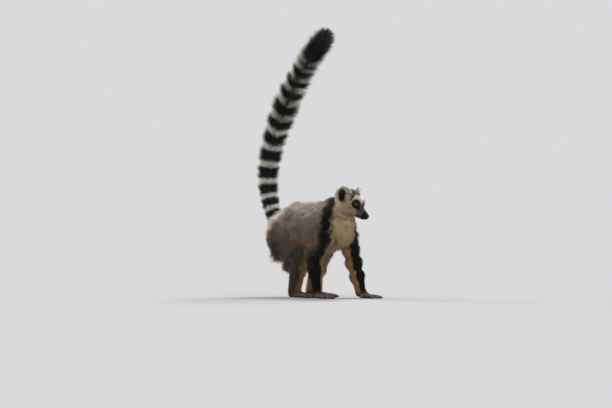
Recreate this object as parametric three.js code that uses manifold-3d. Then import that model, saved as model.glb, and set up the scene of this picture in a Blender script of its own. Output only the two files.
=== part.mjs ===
// A life-size ring-tailed lemur standing on four feet, with its head turned a little to its left and its
// tail raised in a long forward curve. Millimetres, +Z up. The animal faces +X and its left side is +Y.
// The solids have the outline of the whole coat, out to the tips of the fur. The body is one smooth field
// of swept ellipses, given a surface, and parted by thin cuts into the pieces that a person would name.
import * as THREE from "three";
import { mergeVertices } from "three/addons/utils/BufferGeometryUtils.js";
import Module from "manifold-3d";

const wasm = await Module();
wasm.setup();

// ---- Driving dimensions ---------------------------------------------------------------------------------
const GAP = 0.4; // clearance of every parting cut
const BODY_STEP = 20; // spacing of the surface points on the trunk
const LIMB_STEP = 13;
const HEAD_STEP = 8.3;
const PAW_STEP = 8;

// Trunk: where along the body, height of the middle, half width, half height.
const TRUNK = [
  [-145, 168, 34, 36], // rump
  [-112, 175, 47, 56], // pelvis
  [-60, 185, 54, 64], // loin
  [-8, 182, 58, 66], // belly
  [44, 184.5, 57, 62.5], // rib cage
  [86, 192, 49, 57], // shoulders
  [104, 193, 37, 44], // breast
];
// Neck: place, half width, half height.
const NECK = [
  [64, 0, 206, 44, 50],
  [94, 3, 228, 36, 40],
  [116, 6, 247, 31, 32],
];
const NECK_BLEND = 26;
const LIMB_BLEND = 16;

// The head has its own frame: forward, left and up from the middle of the skull.
const HEAD_AT = new THREE.Vector3(145, 9, 249);
const HEAD_TURN = 15; // degrees to the animal's left
const HEAD_DIP = 23; // degrees that the nose points down
const SKULL = { at: [-13, 0, 5], size: [34, 31, 29] };
const FOREHEAD = { at: [8, 0, 7], size: [18, 23, 16] };
const CHEEK = { at: [-4, 19, -9], size: [21, 15, 17] };
const RUFF = { at: [-13, 0, -26], size: [21, 28, 17] };
// Muzzle and chin: forward, height, half width, half depth.
const MUZZLE = [
  [6, -3, 20, 18],
  [25, -10, 14.5, 13.5],
  [39, -14, 11, 10.4],
  [49, -15.6, 8.8, 8.6],
];
const CHIN = [
  [0, -18, 13, 9],
  [24, -21.5, 9, 6.5],
  [41, -22.2, 6.5, 5],
];
const EYE = { at: [16, 14.4, 6], radius: 7.6 };
const NOSE = { at: [53.4, 0, -13.2], size: [4.2, 5.6, 4.8] };
const EAR = {
  at: [-18, 32, 17],
  halfHeight: 26,
  halfWidth: 25,
  cup: 8.5, // depth of the hollow
  rim: 4.2, // thickness at the edge
  wall: 9, // thickness in the middle
  along: [-0.2, 0.42, 0.88],
  faces: [0.66, 0.72, 0.22],
};

// Limbs: lengths of the bones, and the angles of this stance. A swing is forward of straight down and a
// splay is outward of it, in degrees.
const FORELIMB = { at: [92, 35, 165], upper: 73, lower: 81, stands: 12 };
const HINDLIMB = { at: [-104, 27, 178], upper: 108, lower: 104, stands: 24 };
const STANCE = {
  fore: {
    right: { upper: [-36, 6], lower: [9, 1] },
    left: { upper: [1.5, 15], lower: [17.5, 3] },
  },
  hind: {
    right: { upper: [55.5, 6], lower: [-19.5, -5] },
    left: { upper: [57, 5], lower: [-23, 0] },
  },
};
// Coat along a limb: fraction of the whole way down, half width, half depth.
const FORE_COAT = [
  [0, 25, 32],
  [0.24, 20.5, 23.5],
  [0.48, 18, 21],
  [0.72, 17.5, 20],
  [1, 13, 14],
];
const HIND_COAT = [
  [0, 31, 43],
  [0.2, 31, 43],
  [0.5, 23.5, 31],
  [0.72, 19, 25.5],
  [1, 15, 19.5],
];
// Masses on each side of the rump: the haunch, and the hair that hangs behind the thigh.
const MASSES = [
  { at: [-111, 24, 158], size: [40, 33, 50] },
  { at: [-65, 27, 105], size: [21, 17, 34] },
];

// Hands and feet: sole height, then a chain of forward, sideways, up, half width, half height from the wrist
// or ankle, how far forward the knuckles are, and the digits: root forward and inward, heading inward,
// length, root and tip radius.
const HAND = {
  turn: 6,
  knuckles: 28,
  chain: [
    [-2, 0, 14.5, 11.5, 12],
    [12, 0, 9, 12, 8.5],
    [27, 0, 5.4, 13.5, 6.5],
  ],
  digits: [
    [8, 7, 46, 28, 4.3, 3.3],
    [24, 7, 13, 36, 4.1, 3.1],
    [26, 2.6, 4, 42, 4.2, 3.1],
    [25, -2.6, -6, 45, 4.2, 3.1],
    [22, -7, -19, 38, 4, 3],
  ],
};
const FOOT = {
  turn: 4,
  knuckles: 51,
  chain: [
    [-13, 0, 10.8, 10, 11.5],
    [14, 0, 9.4, 11, 9.5],
    [50, 0, 5.8, 14.5, 7],
  ],
  digits: [
    [17, 6, 42, 42, 5.6, 4.4],
    [46, 8.4, 12, 33, 4.4, 3.4],
    [49, 3.4, 3, 38, 4.5, 3.4],
    [48, -3, -6, 42, 4.5, 3.4],
    [44, -8, -17, 38, 4.3, 3.3],
  ],
};

// The parting cuts: heights over the floor, places along the trunk, and the rings of a limb's sleeve as
// fractions down the upper bone and shares of the full size there.
const PART_LEVEL = 101;
const PAW_LEVEL = 31;
const TRUNK_CUTS = [24, -66];
const SLEEVE = [
  [-0.28, 0.45],
  [-0.16, 0.8],
  [0.08, 1],
  [0.5, 1],
  [1, 1.2],
  [1.15, 0.9],
];
const CUFF = [
  [-0.1, 0.9],
  [0.02, 1.2],
  [0.4, 1.2],
];

// Tail: it starts inside the rump, and its lean from upright grows along its length.
const TAIL = {
  root: [-142, 0, 165],
  length: 636,
  lean: [
    [0, -27],
    [63, -27],
    [126, -9],
    [176, 6],
    [230, 16],
    [321, 27.5],
    [400, 35],
    [480, 41],
    [560, 49.5],
    [636, 52],
  ],
  sway: -3, // how far it bends out of the middle plane, first to the right and then to the left
  coat: [
    [0, 22],
    [60, 22.5],
    [150, 29],
    [250, 33],
    [345, 35.5],
    [400, 33.5],
    [470, 31],
    [560, 30.5],
    [602, 27],
    [625, 17],
    [636, 5],
  ],
  lengths: 4,
  ringEvery: 19,
  sides: 10,
};

// ---- Small helpers --------------------------------------------------------------------------------------
const radians = (degrees) => (degrees * Math.PI) / 180;
const mix = (a, b, t) => a + (b - a) * t;
const vec = (list) => new THREE.Vector3(list[0], list[1], list[2]);

/** Reads a table of [position, value...] rows at a position, straight between its rows. */
function along(table, position) {
  let i = 1;
  while (i < table.length - 1 && table[i][0] < position) i++;
  const [a, b] = [table[i - 1], table[i]];
  const t = THREE.MathUtils.clamp((position - a[0]) / (b[0] - a[0]), 0, 1);
  return a.slice(1).map((value, n) => mix(value, b[n + 1], t));
}

/** Two distances joined with a rounded corner of this width. */
function blend(a, b, width) {
  const h = THREE.MathUtils.clamp(0.5 + (0.5 * (b - a)) / width, 0, 1);
  return mix(b, a, h) - width * h * (1 - h);
}

/** About how far a point is outside an ellipsoid, given the point's offsets and the half sizes. */
function ellipsoidDistance(u, v, w, a, b, c) {
  const inside = Math.hypot(u / a, v / b, w / c);
  const slope = Math.hypot(u / (a * a), v / (b * b), w / (c * c));
  return slope > 1e-9 ? (inside * (inside - 1)) / slope : -Math.min(a, b, c);
}

/** A field for an ellipse swept along stations of {at, wide, deep}; wide is measured towards the side. */
function sweep(stations, width = 8, side = new THREE.Vector3(0, 1, 0)) {
  const pieces = stations.slice(1).map((b, i) => {
    const a = stations[i];
    const run = b.at.clone().sub(a.at);
    const length = run.length();
    const ahead = run.clone().divideScalar(length);
    const across = side.clone().addScaledVector(ahead, -side.dot(ahead)).normalize();
    return { a, b, length, ahead, across, up: ahead.clone().cross(across) };
  });
  return (p) => {
    let nearest = Infinity;
    for (const s of pieces) {
      const x = p.x - s.a.at.x;
      const y = p.y - s.a.at.y;
      const z = p.z - s.a.at.z;
      const reach = x * s.ahead.x + y * s.ahead.y + z * s.ahead.z;
      const t = THREE.MathUtils.clamp(reach / s.length, 0, 1);
      const wide = mix(s.a.wide, s.b.wide, t);
      const deep = mix(s.a.deep, s.b.deep, t);
      const distance = ellipsoidDistance(
        x * s.across.x + y * s.across.y + z * s.across.z,
        x * s.up.x + y * s.up.y + z * s.up.z,
        reach - t * s.length,
        wide,
        deep,
        Math.min(wide, deep),
      );
      nearest = nearest === Infinity ? distance : blend(distance, nearest, width);
    }
    return nearest;
  };
}

/** A field for an ellipsoid in the axes of the frame. */
function ellipsoid(at, size) {
  return (p) => ellipsoidDistance(p.x - at[0], p.y - at[1], p.z - at[2], size[0], size[1], size[2]);
}

/** The closed surface of what a field holds inside a box, on a grid of this step: one point for each sheet
 * that passes through a cell, joined across every grid edge that it crosses, then evened out on the field. */
function surfaceOf(whole, box, step) {
  const field = (p) =>
    Math.max(
      whole(p),
      box.min.x - p.x,
      p.x - box.max.x,
      box.min.y - p.y,
      p.y - box.max.y,
      box.min.z - p.z,
      p.z - box.max.z,
    );
  const size = box.getSize(new THREE.Vector3());
  const count = [size.x, size.y, size.z].map((length) => Math.ceil(length / step) + 4);
  const stride = [1, count[0], count[0] * count[1]];
  const values = new Float64Array(count[0] * count[1] * count[2]);
  const place = (i, j, k) =>
    new THREE.Vector3(i * step, j * step, k * step).add(box.min).subScalar(1.5 * step);
  for (let k = 0, n = 0; k < count[2]; k++)
    for (let j = 0; j < count[1]; j++)
      for (let i = 0; i < count[0]; i++, n++) values[n] = field(place(i, j, k)) || 1e-6;

  const edges = [];
  for (let axis = 0; axis < 3; axis++)
    for (let n = 0; n < 4; n++) {
      const low = ((n & 1) << ((axis + 1) % 3)) | ((n >> 1) << ((axis + 2) % 3));
      edges.push([low, low | (1 << axis)]);
    }
  const edgeOf = (a, b) => edges.findIndex(([p, q]) => p === Math.min(a, b) && q === Math.max(a, b));
  const faces = [];
  for (let axis = 0; axis < 3; axis++)
    for (let high = 0; high < 2; high++) {
      const [u, v] = [1 << ((axis + 1) % 3), 1 << ((axis + 2) % 3)];
      const corners = [0, u, u | v, v].map((c) => c | (high << axis));
      faces.push({ corners, edges: corners.map((c, n) => edgeOf(c, corners[(n + 1) % 4])) });
    }

  const points = [];
  const pointAt = new Map();
  for (let k = 0; k < count[2] - 1; k++)
    for (let j = 0; j < count[1] - 1; j++)
      for (let i = 0; i < count[0] - 1; i++) {
        const cell = i + j * stride[1] + k * stride[2];
        const corner = (c) => values[cell + (c & 1) + ((c >> 1) & 1) * stride[1] + (c >> 2) * stride[2]];
        const crossed = edges.map(([a, b]) => corner(a) < 0 !== corner(b) < 0);
        if (!crossed.includes(true)) continue;
        const group = edges.map((_, n) => n);
        const rootOf = (n) => (group[n] === n ? n : rootOf(group[n]));
        for (const face of faces) {
          const cut = face.edges.filter((e) => crossed[e]);
          if (cut.length === 2) group[rootOf(cut[0])] = rootOf(cut[1]);
          if (cut.length === 4)
            face.corners.forEach((c, n) => {
              if (corner(c) < 0) group[rootOf(face.edges[(n + 3) % 4])] = rootOf(face.edges[n]);
            });
        }
        const sheets = new Map();
        edges.forEach(([a, b], n) => {
          if (!crossed[n]) return;
          const sheet = rootOf(n);
          if (!sheets.has(sheet)) sheets.set(sheet, { sum: new THREE.Vector3(), hits: 0, edges: [] });
          const t = corner(a) / (corner(a) - corner(b));
          const from = place(i + (a & 1), j + ((a >> 1) & 1), k + (a >> 2));
          const to = place(i + (b & 1), j + ((b >> 1) & 1), k + (b >> 2));
          const found = sheets.get(sheet);
          found.sum.add(from.lerp(to, t));
          found.hits += 1;
          found.edges.push(n);
        });
        for (const found of sheets.values()) {
          for (const n of found.edges) pointAt.set(cell * 12 + n, points.length);
          points.push(found.sum.divideScalar(found.hits));
        }
      }

  const triangles = [];
  for (let axis = 0; axis < 3; axis++) {
    const [u, v] = [(axis + 1) % 3, (axis + 2) % 3];
    const at = [0, 0, 0];
    for (at[2] = 0; at[2] < count[2]; at[2]++)
      for (at[1] = 0; at[1] < count[1]; at[1]++)
        for (at[0] = 0; at[0] < count[0]; at[0]++) {
          if (at[axis] > count[axis] - 2 || at[u] < 1 || at[v] < 1) continue;
          const here = at[0] + at[1] * stride[1] + at[2] * stride[2];
          const inside = values[here] < 0;
          if (inside === values[here + stride[axis]] < 0) continue;
          const ring = [[1, 1], [0, 1], [0, 0], [1, 0]].map(([du, dv]) =>
            pointAt.get((here - du * stride[u] - dv * stride[v]) * 12 + axis * 4 + du + 2 * dv),
          );
          if (ring.includes(undefined)) continue;
          if (!inside) ring.reverse();
          const [a, b, c, d] = ring;
          const across = points[a].distanceTo(points[c]) <= points[b].distanceTo(points[d]);
          if (across) triangles.push(a, b, c, a, c, d);
          else triangles.push(b, c, d, b, d, a);
        }
  }
  evenOut(points, triangles, field, step);
  return solidFrom(points, triangles);
}

/** Moves each point towards the middle of its neighbours and back onto the field's surface, three times. */
function evenOut(points, triangles, field, step) {
  const near = points.map(() => new Set());
  for (let n = 0; n < triangles.length; n += 3)
    for (let e = 0; e < 3; e++) {
      near[triangles[n + e]].add(triangles[n + ((e + 1) % 3)]);
      near[triangles[n + ((e + 1) % 3)]].add(triangles[n + e]);
    }
  for (let round = 0; round < 3; round++) {
    const moved = points.map((p, n) => {
      const middle = new THREE.Vector3();
      for (const m of near[n]) middle.add(points[m]);
      return p.clone().lerp(middle.divideScalar(near[n].size), 0.5);
    });
    moved.forEach((p, n) => {
      for (let pull = 0; pull < 2; pull++) ontoSurface(p, field, step / 3);
      points[n].copy(p);
    });
  }
}

/** Moves a point along the field's slope onto its surface, no further than the limit. */
function ontoSurface(p, field, limit) {
  const e = 0.05;
  const here = field(p);
  const slope = new THREE.Vector3(
    field(new THREE.Vector3(p.x + e, p.y, p.z)) - here,
    field(new THREE.Vector3(p.x, p.y + e, p.z)) - here,
    field(new THREE.Vector3(p.x, p.y, p.z + e)) - here,
  ).divideScalar(e);
  const steep = Math.max(slope.length(), 0.3);
  const move = THREE.MathUtils.clamp(here / steep, -limit, limit);
  p.addScaledVector(slope, -move / steep);
}

/** A manifold-3d solid from points and triangles. */
function solidFrom(points, triangles) {
  const vertProperties = new Float32Array(points.flatMap((p) => [p.x, p.y, p.z]));
  return new wasm.Manifold(
    new wasm.Mesh({ numProp: 3, vertProperties, triVerts: new Uint32Array(triangles) }),
  );
}

/** A manifold-3d solid from a three.js geometry, placed by a matrix. */
function solidOf(geometry, matrix = new THREE.Matrix4()) {
  const bare = geometry.clone().deleteAttribute("normal").deleteAttribute("uv").applyMatrix4(matrix);
  const merged = mergeVertices(bare, 1e-4);
  return new wasm.Manifold(
    new wasm.Mesh({
      numProp: 3,
      vertProperties: merged.attributes.position.array,
      triVerts: new Uint32Array(merged.index.array),
    }),
  );
}

/** A box between two corners, as a solid. */
function boxSolid(low, high) {
  const size = high.clone().sub(low);
  const middle = low.clone().add(high).multiplyScalar(0.5);
  return solidOf(
    new THREE.BoxGeometry(size.x, size.y, size.z),
    new THREE.Matrix4().makeTranslation(middle.x, middle.y, middle.z),
  );
}

/** Everything on the side of a plane that its normal points to, starting a distance beyond the plane. */
function halfSpace(point, normal, beyond) {
  const reach = 1200;
  const turn = new THREE.Quaternion().setFromUnitVectors(new THREE.Vector3(0, 0, 1), normal);
  const middle = point.clone().addScaledVector(normal, beyond + reach / 2);
  return solidOf(
    new THREE.BoxGeometry(reach, reach, reach),
    new THREE.Matrix4().compose(middle, turn, new THREE.Vector3(1, 1, 1)),
  );
}

/** The largest body of a solid, without the slivers that a cut can leave. */
function largest(solid) {
  return solid.decompose().reduce((a, b) => (a.volume() > b.volume() ? a : b));
}

/** A closed tube through rings of points, each end closed by a point. */
function tube(rings, start, end) {
  const sides = rings[0].length;
  const points = [...rings.flat(), start, end];
  const triangles = [];
  for (let r = 0; r < rings.length - 1; r++)
    for (let s = 0; s < sides; s++) {
      const [a, b] = [r * sides + s, r * sides + ((s + 1) % sides)];
      triangles.push(a, b, b + sides, a, b + sides, a + sides);
    }
  const last = (rings.length - 1) * sides;
  for (let s = 0; s < sides; s++) {
    const next = (s + 1) % sides;
    triangles.push(next, s, points.length - 2, last + s, last + next, points.length - 1);
  }
  return solidFrom(points, triangles);
}

// ---- The skeleton ---------------------------------------------------------------------------------------
/** The end of a bone that leaves a point at this swing and splay, on the left (+1) or right (-1) side. */
function boneEnd(from, length, [swing, splay], hand) {
  const [a, b] = [radians(swing), radians(splay)];
  return new THREE.Vector3(
    Math.sin(a) * Math.cos(b),
    hand * Math.sin(b),
    -Math.cos(a) * Math.cos(b),
  )
    .multiplyScalar(length)
    .add(from);
}

/** The joints of a limb, from the shoulder or hip to the wrist or ankle. */
function limbJoints(limb, stance, hand) {
  const top = new THREE.Vector3(limb.at[0], limb.at[1] * hand, limb.at[2]);
  const middle = boneEnd(top, limb.upper, stance.upper, hand);
  return [top, middle, boneEnd(middle, limb.lower, stance.lower, hand)];
}

/** Stations along a limb: its joints, and the coat's half sizes at fractions of the way down. */
function limbStations(joints, coat) {
  const upper = joints[0].distanceTo(joints[1]);
  const whole = upper + joints[1].distanceTo(joints[2]);
  const bend = upper / whole;
  const fractions = [...new Set([...coat.map((row) => row[0]), bend])].sort((a, b) => a - b);
  return fractions.map((f) => {
    const [wide, deep] = along(coat, f);
    const at =
      f < bend
        ? joints[0].clone().lerp(joints[1], f / bend)
        : joints[1].clone().lerp(joints[2], (f - bend) / (1 - bend));
    return { at, wide, deep };
  });
}

/** A paw's own frame: its origin on the floor under the wrist or ankle, and its forward and inward ways. */
function pawFrame(paw, joint, hand) {
  const heading = radians(paw.turn) * hand;
  return {
    at: new THREE.Vector3(joint.x, joint.y, 0),
    ahead: new THREE.Vector3(Math.cos(heading), Math.sin(heading), 0),
    inward: new THREE.Vector3(hand * Math.sin(heading), -hand * Math.cos(heading), 0),
  };
}

/** A point of a paw from forward, inward and up. */
function pawPoint(frame, ahead, inward, up) {
  return frame.at
    .clone()
    .addScaledVector(frame.ahead, ahead)
    .addScaledVector(frame.inward, inward)
    .setZ(up);
}

const headTurn = new THREE.Matrix4()
  .makeRotationZ(radians(HEAD_TURN))
  .multiply(new THREE.Matrix4().makeRotationY(radians(HEAD_DIP)));
const headMatrix = new THREE.Matrix4().makeTranslation(HEAD_AT.x, HEAD_AT.y, HEAD_AT.z).multiply(headTurn);
const headInverse = headMatrix.clone().invert();

// ---- The fields -----------------------------------------------------------------------------------------
/** The head without ears, in its own frame: skull, forehead, cheeks, ruff, muzzle and chin. */
function headField() {
  const station = ([x, z, wide, deep]) => ({ at: new THREE.Vector3(x, 0, z), wide, deep });
  const skull = ellipsoid(SKULL.at, SKULL.size);
  const forehead = ellipsoid(FOREHEAD.at, FOREHEAD.size);
  const cheek = ellipsoid(CHEEK.at, CHEEK.size);
  const ruff = ellipsoid(RUFF.at, RUFF.size);
  const muzzle = sweep(MUZZLE.map(station), 5);
  const chin = sweep(CHIN.map(station), 5);
  const folded = new THREE.Vector3();
  return (p) => {
    folded.set(p.x, Math.abs(p.y), p.z); // both cheeks from one
    let d = blend(skull(p), forehead(p), 12);
    d = blend(d, cheek(folded), 12);
    d = blend(d, ruff(folded), 12);
    d = blend(d, muzzle(p), 9);
    return blend(d, chin(p), 5);
  };
}

const limbs = {};
for (const [end, limb, coat, paw] of [
  ["fore", FORELIMB, FORE_COAT, HAND],
  ["hind", HINDLIMB, HIND_COAT, FOOT],
])
  for (const [side, hand] of [["right", -1], ["left", 1]]) {
    const joints = limbJoints(limb, STANCE[end][side], hand);
    const frame = pawFrame(paw, joints[2], hand);
    const sole = paw.chain.map(([ahead, inward, up, wide, deep]) => ({
      at: pawPoint(frame, ahead, inward, up),
      wide,
      deep,
    }));
    const leg = sweep(limbStations(joints, coat), 11);
    const under = sweep(sole, 7);
    const field = (p) => blend(leg(p), under(p), 9);
    limbs[`${end}_${side}`] = { joints, frame, hand, paw, coat, stands: limb.stands, field };
  }

const trunkField = sweep(
  TRUNK.map(([x, z, wide, deep]) => ({ at: new THREE.Vector3(x, 0, z), wide, deep })),
  20,
);
const neckField = sweep(
  NECK.map(([x, y, z, wide, deep]) => ({ at: new THREE.Vector3(x, y, z), wide, deep })),
  16,
);
const haunchFields = MASSES.flatMap(({ at, size }) =>
  [1, -1].map((hand) => ellipsoid([at[0], at[1] * hand, at[2]], size)),
);
const headOnly = headField();
const inHead = new THREE.Vector3();

/** The whole animal without ears, digits and the free part of the tail. */
function bodyField(p) {
  let d = blend(trunkField(p), neckField(p), NECK_BLEND);
  for (const haunch of haunchFields) d = blend(d, haunch(p), LIMB_BLEND);
  for (const limb of Object.values(limbs)) d = blend(d, limb.field(p), LIMB_BLEND);
  return blend(d, headOnly(inHead.copy(p).applyMatrix4(headInverse)), 12);
}

// ---- The tail -------------------------------------------------------------------------------------------
/** The line down the middle of the tail, found by adding up short steps at its lean. */
function tailLine() {
  const step = 2;
  const points = [vec(TAIL.root)];
  for (let s = 0; s < TAIL.length; s += step) {
    const lean = radians(along(TAIL.lean, s + step / 2)[0]);
    const next = points[points.length - 1].clone();
    next.x += step * Math.sin(lean);
    next.z += step * Math.cos(lean);
    next.y = TAIL.sway * Math.sin((2 * Math.PI * s) / TAIL.length);
    points.push(next);
  }
  return new THREE.CatmullRomCurve3(points.filter((_, n) => n % 10 === 0 || n === points.length - 1));
}

/** One length of the tail between two distances along it, larger all round by an extra. */
function tailLength(line, from, to, extra) {
  const count = Math.round(TAIL.length / TAIL.lengths / TAIL.ringEvery);
  const share = (s) => THREE.MathUtils.clamp(s / TAIL.length, 0, 1);
  const rings = [...Array(count + 1).keys()].map((r) => {
    const s = mix(from, to, r / count);
    const ahead = line.getTangentAt(share(s)).normalize();
    const side = new THREE.Vector3(0, 1, 0).addScaledVector(ahead, -ahead.y).normalize();
    const up = side.clone().cross(ahead);
    const radius = along(TAIL.coat, s)[0] + extra * 1.1;
    return [...Array(TAIL.sides).keys()].map((n) => {
      const angle = (2 * Math.PI * n) / TAIL.sides;
      return line
        .getPointAt(share(s))
        .addScaledVector(side, radius * Math.cos(angle))
        .addScaledVector(up, -radius * Math.sin(angle));
    });
  });
  const start = line.getPointAt(share(from)).addScaledVector(line.getTangentAt(share(from)), -extra);
  return tube(rings, start, line.getPointAt(share(to)));
}

// ---- Ears, eyes, nose and digits ------------------------------------------------------------------------
/** A cupped ear in the head's frame: a round-tipped leaf, hollow in front and thick with fur behind. */
function ear(hand) {
  const mirror = new THREE.Vector3(1, hand, 1);
  const along1 = vec(EAR.along).multiply(mirror).normalize();
  const faces = vec(EAR.faces).multiply(mirror);
  faces.addScaledVector(along1, -faces.dot(along1)).normalize();
  const across = along1.clone().cross(faces);
  const middle = vec(EAR.at).multiply(mirror);
  const rounds = 12;
  const layers = [0.34, 0.68, 1];
  const leaf = (share, n) => {
    const angle = (2 * Math.PI * n) / rounds;
    const up = Math.sin(angle);
    const point = 1 - 0.24 * Math.max(0, up) ** 2; // narrower towards the tip
    return [share * EAR.halfWidth * Math.cos(angle) * point, share * EAR.halfHeight * up];
  };
  const at = (x, y, depth) =>
    middle.clone().addScaledVector(across, x).addScaledVector(along1, y).addScaledVector(faces, depth);
  const front = (share) => -EAR.cup * (1 - share ** 2) + EAR.rim / 2;
  const back = (share) => -EAR.cup * (1 - share ** 2) - mix(EAR.wall, EAR.rim, share ** 2) + EAR.rim / 2;
  const ringAt = (share, depth) =>
    [...Array(rounds).keys()].map((n) => at(...leaf(share, n), depth(share)));
  const rings = [
    ...layers.map((share) => ringAt(share, back)),
    ...layers.toReversed().map((share) => ringAt(share, front)),
  ];
  return rightSideOut(rings, at(0, 0, back(0)), at(0, 0, front(0)));
}

/** The tube through these rings, whichever way round they run. */
function rightSideOut(rings, start, end) {
  const made = tube(rings, start, end);
  return made.volume() > 0 ? made : tube(rings.map((ring) => ring.toReversed()), start, end);
}

/** A stretched ball in the head's frame, as a solid, larger by the given amount. */
function headBall(at, size, extra, segments) {
  const matrix = headMatrix
    .clone()
    .multiply(new THREE.Matrix4().makeTranslation(at[0], at[1], at[2]))
    .multiply(new THREE.Matrix4().makeScale(...size.map((s) => s + extra)));
  return solidOf(new THREE.SphereGeometry(1, segments, Math.round(segments * 0.6)), matrix);
}

/** A finger or toe, larger all round by an extra: it arches a little and comes down on its pad. */
function digit(limb, [ahead, inward, heading, length, rootRadius, tipRadius], extra) {
  const turn = radians(heading);
  const stations = 3;
  const sides = 5;
  const rings = [];
  const middle = (t) => {
    const reach = t * length;
    const arch = 2.2 * Math.sin(Math.PI * Math.min(1, t * 1.15));
    const up = mix(rootRadius + 1.2, tipRadius - 0.5, t) + arch;
    return pawPoint(limb.frame, ahead + reach * Math.cos(turn), inward + reach * Math.sin(turn), up);
  };
  for (let r = 0; r <= stations; r++) {
    const t = r / stations;
    const direction = middle(Math.min(1, t + 0.02)).sub(middle(Math.max(0, t - 0.02))).normalize();
    const side = new THREE.Vector3(-direction.y, direction.x, 0).normalize();
    const up = direction.clone().cross(side);
    const pad = 1 + 0.14 * Math.exp(-(((t - 0.86) / 0.12) ** 2)) - 0.35 * Math.max(0, (t - 0.88) / 0.12) ** 2;
    const radius = mix(rootRadius, tipRadius, t) * pad + extra * 1.25;
    rings.push(
      [...Array(sides).keys()].map((n) => {
        const angle = Math.PI / 2 + (2 * Math.PI * n) / sides; // a flat side underneath
        return middle(t)
          .addScaledVector(side, radius * Math.cos(angle))
          .addScaledVector(up, radius * 0.92 * Math.sin(angle));
      }),
    );
  }
  const root = middle(0).add(middle(0).sub(middle(0.06)).setLength(extra * 2 + 0.01));
  const tip = middle(1).add(middle(1).sub(middle(0.94)).setLength(tipRadius * 0.6 + extra));
  return rightSideOut(rings, root, tip);
}

// ---- Cutting the body into its named pieces -------------------------------------------------------------
const pieces = new Map();
const SIDES = [["right", -1], ["left", 1]];
const boxAround = (points, margin) => new THREE.Box3().setFromPoints(points).expandByScalar(margin);
const level = (field, amount) => (p) => field(p) - amount;
const slab = (from, to) => boxSolid(new THREE.Vector3(-600, -600, from), new THREE.Vector3(600, 600, to));

/** A straight tube round a bone, from rows of fraction down the bone and share of the coat's size there. */
function sheath(from, to, rows, coatAt, outward, extra) {
  const reach = to.distanceTo(from);
  const ahead = to.clone().sub(from).normalize();
  const fore = outward.clone().cross(ahead).normalize();
  const across = ahead.clone().cross(fore);
  const rounds = 10;
  const centre = (f) => from.clone().addScaledVector(ahead, f * reach);
  const rings = rows.map(([f, share]) => {
    const [wide, deep] = coatAt(THREE.MathUtils.clamp(f, 0, 1));
    return [...Array(rounds).keys()].map((n) => {
      const angle = (2 * Math.PI * (n + 0.5)) / rounds;
      return centre(f)
        .addScaledVector(across, (share * (wide + 5) + extra) * Math.cos(angle))
        .addScaledVector(fore, (share * (deep + 5) + extra) * Math.sin(angle));
    });
  });
  const start = centre(rows[0][0]).addScaledVector(ahead, -7 - extra);
  return rightSideOut(rings, start, centre(rows.at(-1)[0]).addScaledVector(ahead, 7 + extra));
}

/** What parts an upper limb from the trunk, larger all round by an extra: a tube round the upper bone that
 * stands out towards the flank at its top, joined with one round the start of the lower bone. */
function sleeve(limb, extra) {
  const [top, middle, bottom] = limb.joints;
  const outward = new THREE.Vector3(0, limb.hand, 0);
  const shoulder = top.clone().addScaledVector(outward, limb.stands);
  const bend = middle.distanceTo(top) / (middle.distanceTo(top) + bottom.distanceTo(middle));
  const upper = sheath(shoulder, middle, SLEEVE, (f) => along(limb.coat, f * bend), outward, extra);
  const cuff = sheath(middle, bottom, CUFF, () => along(limb.coat, bend), outward, extra);
  return upper.add(cuff);
}

// Everything over the level of the elbows and knees is parted from one surface.
const trunkBox = new THREE.Box3(new THREE.Vector3(-215, -95, 70), new THREE.Vector3(200, 95, 320));
const upperBody = surfaceOf(bodyField, trunkBox, BODY_STEP).intersect(slab(PART_LEVEL + GAP / 2, 400));

// The limbs: the upper part inside its sleeve, the lower part under one level, then the paw and its digits.
const sleeves = [];
for (const [name, limb] of Object.entries(limbs)) {
  const [end, side] = name.split("_");
  const fore = end === "fore";
  const names = fore ? ["upper_arm", "forearm", "hand", "finger"] : ["thigh", "shin", "foot", "toe"];
  const [upperName, lowerName, pawName, digitName] = names.map((each) => `${each}_`);
  const own = boxSolid(
    new THREE.Vector3(fore ? 16 : -250, limb.hand > 0 ? 1 : -200, -50),
    new THREE.Vector3(fore ? 250 : 16, limb.hand > 0 ? 200 : -1, 300),
  );
  sleeves.push(sleeve(limb, 1.5 * GAP));
  pieces.set(upperName + side, largest(upperBody.intersect(sleeve(limb, 0)).intersect(own)));
  const shaft = slab(PAW_LEVEL + GAP / 2, PART_LEVEL - GAP / 2);
  const shaftBox = boxAround([limb.joints[1].clone().setZ(PART_LEVEL), limb.joints[2]], 42);
  pieces.set(
    lowerName + side,
    largest(surfaceOf(bodyField, shaftBox, LIMB_STEP).intersect(own).intersect(shaft)),
  );

  const pawBox = boxAround([limb.frame.at, pawPoint(limb.frame, limb.paw.chain.at(-1)[0], 0, 0)], 34);
  const knuckles = pawPoint(limb.frame, limb.paw.knuckles, 0, 0);
  const beyond = halfSpace(knuckles, limb.frame.ahead, GAP / 2);
  const [thumb, ...others] = limb.paw.digits;
  const paw = surfaceOf(bodyField, pawBox, PAW_STEP)
    .intersect(slab(0, PAW_LEVEL - GAP / 2))
    .intersect(own)
    .intersect(halfSpace(knuckles, limb.frame.ahead.clone().negate(), GAP / 2))
    .subtract(digit(limb, thumb, GAP));
  pieces.set(`${digitName}1_${side}`, largest(digit(limb, thumb, 0).intersect(slab(0, 100))));
  others.forEach((row, n) => {
    let made = digit(limb, row, 0).intersect(slab(0, 100)).intersect(beyond);
    for (const other of others.slice(0, n)) made = made.subtract(digit(limb, other, GAP));
    pieces.set(`${digitName}${n + 2}_${side}`, largest(made));
  });
  pieces.set(pawName + side, largest(paw));
}

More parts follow.
